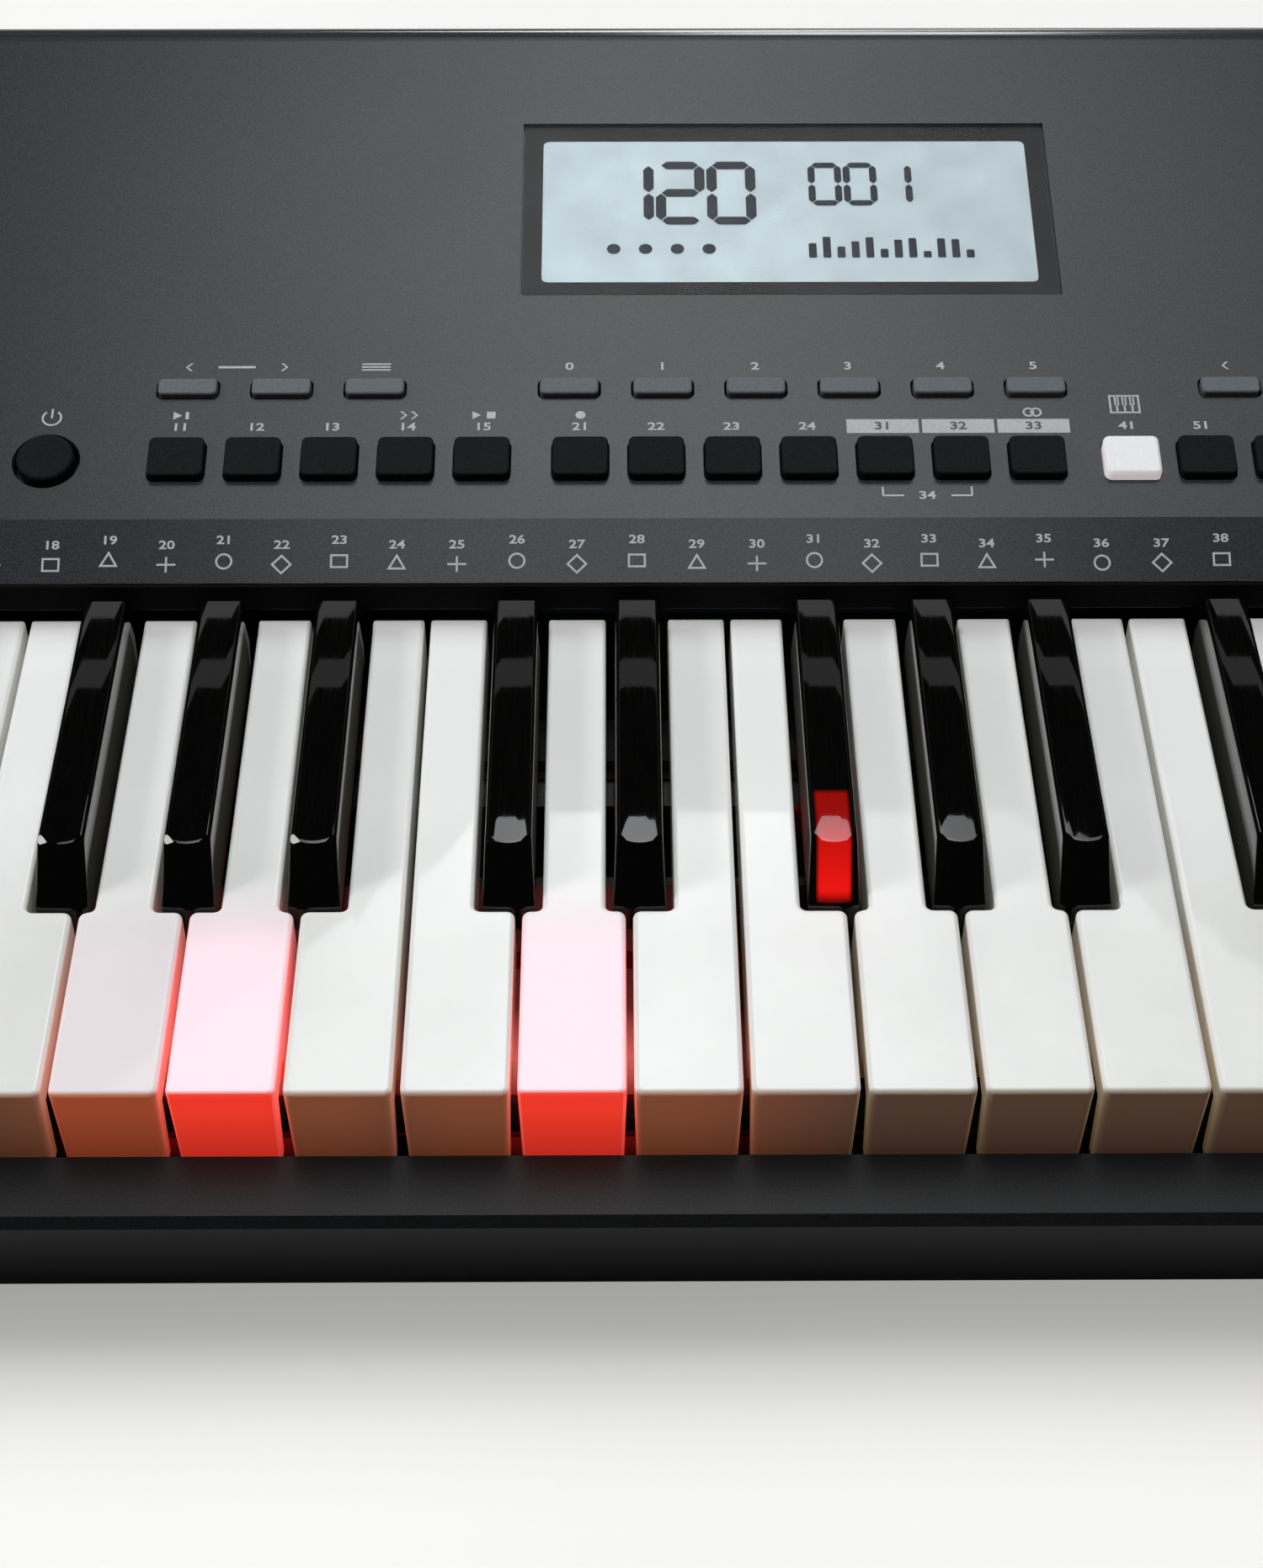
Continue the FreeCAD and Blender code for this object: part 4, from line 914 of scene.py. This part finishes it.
def volume_cap():
    """Knob with a ring of flutes, a softened top and a white pointer line."""
    solid = [flat_panel @ p for p in islands("volume_knob")[0]]
    cap = [p for p in solid if p.z > CAP_ABOVE]
    x0, x1, v0, v1 = extent(cap)
    x = (x0 + x1) / 2
    v = (v0 + v1) / 2
    radius = x1 - x
    rise = max(p.z for p in cap)
    low = min(p.z for p in cap)
    outline = []
    steps = KNOB_FLUTES * 6
    for k in range(steps):
        a = 2 * pi * k / steps
        r = radius - KNOB_FLUTE_DEPTH / 2 * (1 - cos(KNOB_FLUTES * a))
        outline.append(Vector((r * cos(a), r * sin(a))))
    bm = bmesh.new()
    skirt = [(0.3 * MM, low), (0, low + 0.6 * MM), (0, rise - 1.2 * MM)]
    crown = [(0.6 * MM, rise - 0.4 * MM), (1.3 * MM, rise)]
    dish = [(3.0 * MM, rise - 0.1 * MM), (6.0 * MM, rise - 0.3 * MM)]
    add_loft(bm, outline, skirt + crown + dish, at(panel, x, v))
    made = piece("dressed_volume_knob", bm, black_cap_abs, "volume_knob")
    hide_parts("volume_knob")
    line = bmesh.new()
    mark = rounded_rect(POINTER_WIDTH, 0.42 * radius, 0.4 * MM)
    add_loft(line, mark, [(0, rise - 0.5 * MM), (0, rise + 0.02 * MM)], at(panel, x, v + radius * 0.62))
    piece("volume_pointer", line, light_ink, "volume_knob", smooth=False)
    return x, v, radius


power_cap()
knob_x, knob_v, knob_radius = volume_cap()


# Display
def display():
    """Window with rounded corners over a glowing glass, and the black mask printed round its view."""
    corners = [flat_panel @ v.co for v in nodes["display_window"].data.vertices]
    x0, x1, v0, v1 = extent(corners)
    width = x1 - x0
    height = v1 - v0
    back = min(p.z for p in corners)
    place = at(panel, (x0 + x1) / 2, (v0 + v1) / 2)
    sheet = 0.8 * MM
    corner = 0.8 * MM
    bevel = 0.15 * MM
    fit = 0.4 * MM
    border = 5.0 * MM
    bm = bmesh.new()
    rings = [(bevel, -sheet), (0, -sheet + bevel)] + edge_rings(0, 0.2 * MM, 2)
    add_loft(bm, rounded_rect(width, height, corner), rings, place)
    made = piece("dressed_display_window", bm, window_acrylic, "case")
    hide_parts("display_window")
    mask = bmesh.new()
    outer = rounded_rect(width - fit, height - fit, corner)
    inner = rounded_rect(width - 2 * border, height - 2 * border, 1.5 * MM)
    add_band(mask, outer, inner, back, back + 0.1 * MM, place)
    piece("display_mask", mask, mask_ink, "case", smooth=False)
    return place, back


def add_segment_digit(bm, place, x, v, height, digit, level):
    """Seven-segment figure of mitred bars."""
    lit = {"0": "abcdef", "1": "bc", "2": "abged"}[digit]
    half_w = height * 0.26
    half_h = height / 4
    thick = height * 0.07
    bars = {"a": (0, 2 * half_h, True), "g": (0, 0, True), "d": (0, -2 * half_h, True),
            "f": (-half_w, half_h, False), "b": (half_w, half_h, False), "e": (-half_w, -half_h, False),
            "c": (half_w, -half_h, False)}
    for name in lit:
        bx, bv, level_bar = bars[name]
        reach = (half_w if level_bar else half_h) - 0.15 * thick
        flat = reach - thick
        segment = [(-reach, 0), (-flat, -thick), (flat, -thick), (reach, 0), (flat, thick), (-flat, thick)]
        if not level_bar:
            segment = [(-q, p) for p, q in segment]
        outline = [Vector((x + bx + p, v + bv + q)) for p, q in segment]
        add_loft(bm, outline, [(0, level), (0, level + INK)], place)


def display_figures(place, back):
    """Tempo, step number, beat dots and level bars shown by the display."""
    bm = bmesh.new()
    level = back + 0.12 * MM
    for k, digit in enumerate("120"):
        add_segment_digit(bm, place, (-40 + 13 * k) * MM, 6 * MM, 19 * MM, digit, level)
    for k, digit in enumerate("001"):
        add_segment_digit(bm, place, (10 + 9 * k) * MM, 9 * MM, 13 * MM, digit, level)
    for k in range(4):
        dot = polygon(24, 1.7 * MM)
        add_loft(bm, dot, [(0, level), (0, level + INK)], at(place, (-44 + 8 * k) * MM, -13 * MM))
    for k in range(12):
        height = (2.0 + 5.0 * abs(sin(1.1 * k + 0.6))) * MM
        column = rounded_rect(2.0 * MM, height, 0.3 * MM, 2)
        column_place = at(place, (6 + 3.6 * k) * MM, -16 * MM + height / 2)
        add_loft(bm, column, [(0, level), (0, level + INK)], column_place)
    piece("display_figures", bm, segment_ink, "case", smooth=False)


display_place, display_back = display()
display_figures(display_place, display_back)


# Printed marks
def add_plate(bm, place, outline):
    """Outline printed as one area."""
    add_loft(bm, outline, [(0, -INK), (0, INK)], place)


def add_line(bm, place, outline):
    """Closed outline drawn as a band."""
    add_band(bm, outline, shrunk(outline, STROKE), -INK, INK, place)


def add_digits(bm, place, text, height=DIGIT):
    """Plain figures centred on a place."""
    curve = bpy.data.curves.new("figures", "FONT")
    curve.body = text
    curve.size = height / DIGIT_SHARE
    curve.align_x = "CENTER"
    curve.align_y = "CENTER"
    curve.extrude = INK
    curve.offset = 0.03 * height
    curve.resolution_u = 3
    holder = bpy.data.objects.new("figures", curve)
    bpy.context.scene.collection.objects.link(holder)
    depsgraph = bpy.context.evaluated_depsgraph_get()
    mesh = bpy.data.meshes.new_from_object(holder.evaluated_get(depsgraph))
    mesh.transform(place @ Matrix.Diagonal((DIGIT_WIDTH, 1, 1, 1)))
    bm.from_mesh(mesh)
    bpy.data.objects.remove(holder)
    bpy.data.curves.remove(curve)
    bpy.data.meshes.remove(mesh)


def chevron(size, side):
    """Open arrow head pointing to one side."""
    half = size / 2
    arm = size * 0.45
    back = [(-half, size), (half, 0)]
    shape = [(-half, -size), (arm - half, -size), (arm + half, 0), (arm - half, size)] + back
    points = [Vector((side * x, y)) for x, y in shape]
    return points if side > 0 else points[::-1]


def power_sign(bm, place):
    """Broken ring with an upright bar."""
    radius = 2.2 * MM
    steps = MARK_SIDES
    gap = radians(38)
    turns = [pi / 2 + gap + (2 * pi - 2 * gap) * k / steps for k in range(steps + 1)]
    rays = [Vector((cos(a), sin(a))) for a in turns]
    outer = [ray * (radius + STROKE / 2) for ray in rays]
    inner = [ray * (radius - STROKE / 2) for ray in rays]
    add_plate(bm, place, outer + inner[::-1])
    add_plate(bm, at(place, 0, 1.3 * MM), bar(STROKE, 2.8 * MM))


def key_sign(bm, place):
    """Small keybed sign: a frame with three dividing lines."""
    width = 7.4 * MM
    height = 5.6 * MM
    add_line(bm, place, bar(width, height))
    for k in (-1, 0, 1):
        add_plate(bm, at(place, k * width / 4, 0), bar(STROKE, height - STROKE))
        add_plate(bm, at(place, k * width / 4, height / 5), bar(2.4 * STROKE, height / 2))


def over(node, height):
    """Places above the caps of a node, at a height up the panel from their middles."""
    return [at(panel, x, v + height) for x, v, width, depth, rise in cap_places(node)]


def add_arrows(bm, places):
    """Open arrow heads to the left and to the right over the first two of some buttons."""
    add_plate(bm, places[0], chevron(ARROW, -1))
    add_plate(bm, places[1], chevron(ARROW, 1))


def panel_marks():
    """Marks over the buttons: plain numbers, arrows and simple shapes."""
    bm = bmesh.new()
    boxes = bmesh.new()
    box_numbers = bmesh.new()
    for row, node in enumerate(NUMBERED_NODES):
        for k, place in enumerate(over(node, NUMBER_LINE)):
            number = str(10 * (row + 1) + k + 1)
            if node == "mode_buttons":
                add_plate(boxes, place, bar(17.3 * MM, 4.2 * MM))
                add_digits(box_numbers, place @ Matrix.Translation((0, 0, 2 * INK)), number)
            else:
                add_digits(bm, place, number)
    for k, place in enumerate(over("number_buttons", NUMBER_LINE)):
        add_digits(bm, place, str(k + 1))
    for k, place in enumerate(over("memory_buttons", RECT_LINE)):
        add_digits(bm, place, str(k))

    styles = over("style_buttons", SIGN_LINE)
    add_plate(bm, at(styles[0], -1.2 * MM, 0), polygon(3, PLAY_RADIUS))
    add_plate(bm, at(styles[0], 1.4 * MM, 0), bar(0.8 * MM, 2.2 * MM))
    for k in (-1, 1):
        add_plate(bm, at(styles[3], k * 1.3 * MM, 0), chevron(ARROW, 1))
    add_plate(bm, at(styles[4], -1.9 * MM, 0), polygon(3, PLAY_RADIUS))
    add_plate(bm, at(styles[4], 1.9 * MM, 0), bar(2.1 * MM, 2.1 * MM))
    add_plate(bm, over("record_buttons", SIGN_LINE)[0], polygon(MARK_SIDES, 1.2 * MM))
    rings = over("mode_buttons", SIGN_LINE + 0.6 * MM)[2]
    for k in (-1, 1):
        add_line(bm, at(rings, k * 0.9 * MM, 0), polygon(MARK_SIDES, 1.4 * MM))
    key_sign(bm, over("piano_button", 16.9 * MM)[0])
    power_sign(bm, over("power_button", 13.1 * MM)[0])

    tempos = over("tempo_buttons", RECT_LINE)
    add_arrows(bm, tempos)
    add_plate(bm, tempos[0].lerp(tempos[1], 0.5), bar(9.0 * MM, 0.7 * MM))
    for k in (-1, 0, 1):
        add_plate(bm, at(tempos[2], 0, k * 0.9 * MM), bar(7.0 * MM, 0.45 * MM))
    values = over("value_buttons", RECT_LINE)
    add_arrows(bm, values)
    add_digits(bm, values[2], "0")

    first, second = over("mode_buttons", -10.5 * MM)[:2]
    for side, corner in ((1, at(first, -1.0 * MM, 0)), (-1, at(second, 1.9 * MM, 0))):
        add_plate(bm, at(corner, 0, 1.3 * MM), bar(STROKE, 2.6 * MM))
        add_plate(bm, at(corner, side * 2.4 * MM, 0), bar(5.0 * MM, STROKE))
    add_digits(bm, first.lerp(second, 0.52), "34")

    for k in range(11):
        turn = radians(240 - 30 * k)
        ray = Vector((cos(turn), sin(turn)))
        dot = ray * (knob_radius + 3.0 * MM)
        add_plate(bm, at(panel, knob_x + dot.x, knob_v + dot.y), polygon(16, 0.6 * MM))
        if k in (0, 5, 10):
            figure = ray * (knob_radius + 6.0 * MM)
            add_digits(bm, at(panel, knob_x + figure.x, knob_v + figure.y), str(k))
    piece("panel_marks", bm, light_ink, "case", smooth=False)
    piece("mark_boxes", boxes, light_ink, "case", smooth=False)
    piece("mark_box_numbers", box_numbers, dark_ink, "case", smooth=False)


def strip_shape(bm, place, kind):
    """One of five simple outlines for the row of marks over the keys."""
    if kind == 0:
        add_line(bm, place, polygon(MARK_SIDES, 2.0 * MM))
    elif kind == 1:
        add_line(bm, place, polygon(4, 2.5 * MM))
    elif kind == 2:
        add_line(bm, place, bar(4.2 * MM, 3.4 * MM))
    elif kind == 3:
        add_line(bm, place, polygon(3, 2.6 * MM, pi / 2))
    else:
        add_plate(bm, place, bar(4.4 * MM, STROKE))
        add_plate(bm, place, bar(STROKE, 3.8 * MM))


def strip_marks():
    """A figure and a simple shape over each key, low for the white keys and high for the black ones."""
    bm = bmesh.new()
    keys = []
    for node in white_nodes:
        for solid in islands(node):
            top_z = max(p.z for p in solid)
            end = max(p.y for p in solid if p.z > top_z - TOUCH)
            x0, x1, *depth = extent([p for p in solid if p.z > top_z - TOUCH and p.y > end - TOUCH])
            keys.append(((x0 + x1) / 2, True))
    for node in black_nodes:
        for solid in islands(node):
            x0, x1, *depth = extent(solid)
            keys.append(((x0 + x1) / 2, False))
    for k, (x, white) in enumerate(sorted(keys)):
        shape_v, figure_v = (4.6 * MM, 9.4 * MM) if white else (5.4 * MM, 10.6 * MM)
        strip_shape(bm, at(strip, x, shape_v), k % 5)
        add_digits(bm, at(strip, x, figure_v), str(k + 1), 2.1 * MM)
    piece("strip_marks", bm, light_ink, "case", smooth=False)


panel_marks()
strip_marks()


def dust_strip():
    """Black flock strip on the upright face under the strip's lip, behind the keys."""
    lip = strip.translation
    bm = bmesh.new()
    outline = rounded_rect(DUST_STRIP_LENGTH, DUST_STRIP_HEIGHT, 0.4 * MM)
    middle_z = lip.z - 0.5 * MM - DUST_STRIP_HEIGHT / 2
    place = Matrix.Translation((0, lip.y, middle_z)) @ Matrix.Rotation(pi / 2, 4, "X")
    add_loft(bm, outline, [(0, -0.2 * MM), (0, 0.4 * MM), (0.2 * MM, 0.6 * MM)], place)
    piece("dust_strip", bm, strip_flock, "case", smooth=False)


dust_strip()

# Finishes of the CAD pieces that no dressed piece replaces
finishes = {
    "upper_case": panel_abs, "lower_case": base_abs, "battery_cover": base_abs, "rear_jack_panel": base_abs,
    "speaker_grilles": grille_abs, "speakers": speaker_cone, "rear_sockets": chassis_abs,
    "volume_pot": chassis_abs, "display_module": display_glass, "key_chassis": lit_chassis_abs,
    "key_retainer": chassis_abs, "stop_felts": stop_felt, "key_light_boards": lamp_strip_board,
    "key_contact_board": black_board, "panel_board": black_board, "jack_board": green_board,
    "main_board": green_board, "contact_rubbers": contact_rubber, "rubber_feet": foot_rubber,
    "hinge_rod": rod_steel, "battery_contacts": contact_steel,
}
for node, material in finishes.items():
    mesh = nodes[node].data
    mesh.materials.clear()
    mesh.materials.append(material)
for node in ("upper_case", "lower_case"):
    weld = nodes[node].modifiers.new("weld", "WELD")
    weld.merge_threshold = 0.005 * MM
    soft = nodes[node].modifiers.new("soft_edges", "BEVEL")
    soft.width = 0.5 * MM
    soft.segments = 2
    soft.limit_method = "ANGLE"
    soft.angle_limit = radians(40)
    soft.harden_normals = True


# Studio
def floor():
    """Pale plain board that the keyboard stands on; it sends little light back up."""
    bpy.ops.mesh.primitive_plane_add(size=12.0)
    board = bpy.context.object
    board.name = "studio_floor"
    board.location.z = -0.1 * MM
    material, tree, place = new_surface("pale_painted_board")
    tone = add(tree, "ShaderNodeTexNoise", {"Vector": place, "Scale": 3.0, "Detail": 2.0})
    pale = tinted(tree, tone, "#d9d9d7", "#dfdfdd")
    path = add(tree, "ShaderNodeLightPath").outputs
    seen = path["Is Camera Ray"]
    for ray in ("Is Glossy Ray", "Is Transmission Ray"):
        seen = add(tree, "ShaderNodeMath", {0: seen, 1: path[ray]}, operation="MAXIMUM")
    colour = add(tree, "ShaderNodeMix", {"Factor": seen, "A": linear("#55534f"), "B": pale}, data_type="RGBA")
    lift = add(tree, "ShaderNodeMath", {0: path["Is Camera Ray"], 1: 0.5}, operation="MULTIPLY")
    close_surface(tree, {"Base Color": colour, "Roughness": 0.8, "Emission Color": pale,
                         "Emission Strength": lift})
    board.data.materials.append(material)


def softbox():
    """Eight-sided softbox high above the keys and behind them, dimmer towards its edge and its sides."""
    across = 2.166
    corner = across / 2 / cos(pi / 8)
    bm = bmesh.new()
    ring = [bm.verts.new((p.x, p.y, 0)) for p in polygon(8, corner, pi / 8)]
    bm.faces.new(ring[::-1])
    mesh = bpy.data.meshes.new("studio_softbox")
    bm.to_mesh(mesh)
    bm.free()
    lamp = bpy.data.objects.new("studio_softbox", mesh)
    bpy.context.scene.collection.objects.link(lamp)
    lamp.location = (0.190, 1.543, 2.999)
    material, tree, place = new_surface("softbox_cloth")
    away = add(tree, "ShaderNodeVectorMath", {0: place}, operation="LENGTH").outputs["Value"]
    x = add(tree, "ShaderNodeSeparateXYZ", {"Vector": place}).outputs["X"]
    offset = add(tree, "ShaderNodeMath", {0: x, 1: 0.22}, operation="ADD")
    aside = add(tree, "ShaderNodeMath", {0: offset}, operation="ABSOLUTE")
    outward = add(tree, "ShaderNodeMapRange", {"Value": away, **span(0.0, corner, 5.2, 4.0)})
    sideways = add(tree, "ShaderNodeMapRange", {"Value": aside, **span(0.1, 0.8, 1.0, 0.45)})
    strength = add(tree, "ShaderNodeMath", {0: outward, 1: sideways}, operation="MULTIPLY")
    glow = add(tree, "ShaderNodeEmission", {"Color": linear("#fbfdff"), "Strength": strength})
    add(tree, "ShaderNodeOutputMaterial", {"Surface": glow})
    mesh.materials.append(material)
    lamp.visible_camera = False


def soft_lamp(name, place, aim, width, height, power, mirrored=True):
    """Plain rectangular fill, mirrored by gloss or not."""
    data = bpy.data.lights.new(name, "AREA")
    data.shape = "RECTANGLE"
    data.size = width
    data.size_y = height
    data.energy = power
    lamp = bpy.data.objects.new(name, data)
    bpy.context.scene.collection.objects.link(lamp)
    lamp.location = place
    lamp.rotation_euler = (Vector(aim) - Vector(place)).to_track_quat("-Z", "Y").to_euler()
    lamp.visible_camera = False
    lamp.visible_glossy = mirrored


def world():
    """Dim even room, seen as a pale backdrop."""
    room = bpy.data.worlds.new("studio_room")
    bpy.context.scene.world = room
    room.use_nodes = True
    tree = room.node_tree
    tree.nodes.clear()
    light = add(tree, "ShaderNodeBackground", {"Color": linear("#fff4ea"), "Strength": 0.025})
    backdrop = add(tree, "ShaderNodeBackground", {"Color": linear("#bdbdbb"), "Strength": 1.0})
    seen = add(tree, "ShaderNodeLightPath").outputs["Is Camera Ray"]
    view = add(tree, "ShaderNodeMixShader", {"Fac": seen, 1: light, 2: backdrop})
    add(tree, "ShaderNodeOutputWorld", {"Surface": view})


def camera():
    """Camera at the player's head, looking down on the middle of the keys."""
    place = Vector((-49.60, -469.23, 492.46)) * MM
    pitch = radians(46.76)
    yaw = radians(0.4653)
    roll = radians(0.1815)
    frame_height = 1862
    focal_px = 3150
    right = Vector((cos(yaw), -sin(yaw), 0))
    ahead = Vector((sin(yaw), cos(yaw), 0))
    forward = ahead * cos(pitch) - Vector((0, 0, 1)) * sin(pitch)
    up = ahead * sin(pitch) + Vector((0, 0, 1)) * cos(pitch)
    x_axis = right * cos(roll) + up * sin(roll)
    y_axis = up * cos(roll) - right * sin(roll)
    data = bpy.data.cameras.new("player_view")
    data.sensor_width = 36.0
    data.lens = focal_px / frame_height * data.sensor_width
    data.clip_start = 0.01
    data.clip_end = 50.0
    shot = bpy.data.objects.new("player_view", data)
    turn = Matrix((x_axis, y_axis, -forward)).transposed().to_4x4()
    shot.matrix_world = Matrix.Translation(place) @ turn
    bpy.context.scene.collection.objects.link(shot)
    bpy.context.scene.camera = shot


floor()
softbox()
soft_lamp("top_fill", (-0.05, -0.12, 0.95), (0.0, -0.08, 0.06), 0.6, 0.6, 2.9, mirrored=False)
soft_lamp("strip_card", (-0.03, -0.12, 0.95), (-0.03, -0.01, 0.08), 0.42, 0.25, 1.0)
soft_lamp("left_window", (-1.3, 0.04, 0.96), (-0.1, -0.09, 0.07), 0.45, 0.42, 7.1)
soft_lamp("rear_card_high", (0.0, 1.991, 2.009), (0.0, -0.05, 0.07), 3.0, 0.036, 0.13)
soft_lamp("rear_card_low", (0.0, 2.052, 1.948), (0.0, -0.05, 0.07), 3.0, 0.030, 0.21)
soft_lamp("rear_fill", (0.3, 5.6, 1.4), (0.0, 0.17, 0.05), 1.3, 1.0, 46.0)
world()
camera()
bpy.context.scene.view_settings.view_transform = "Standard"
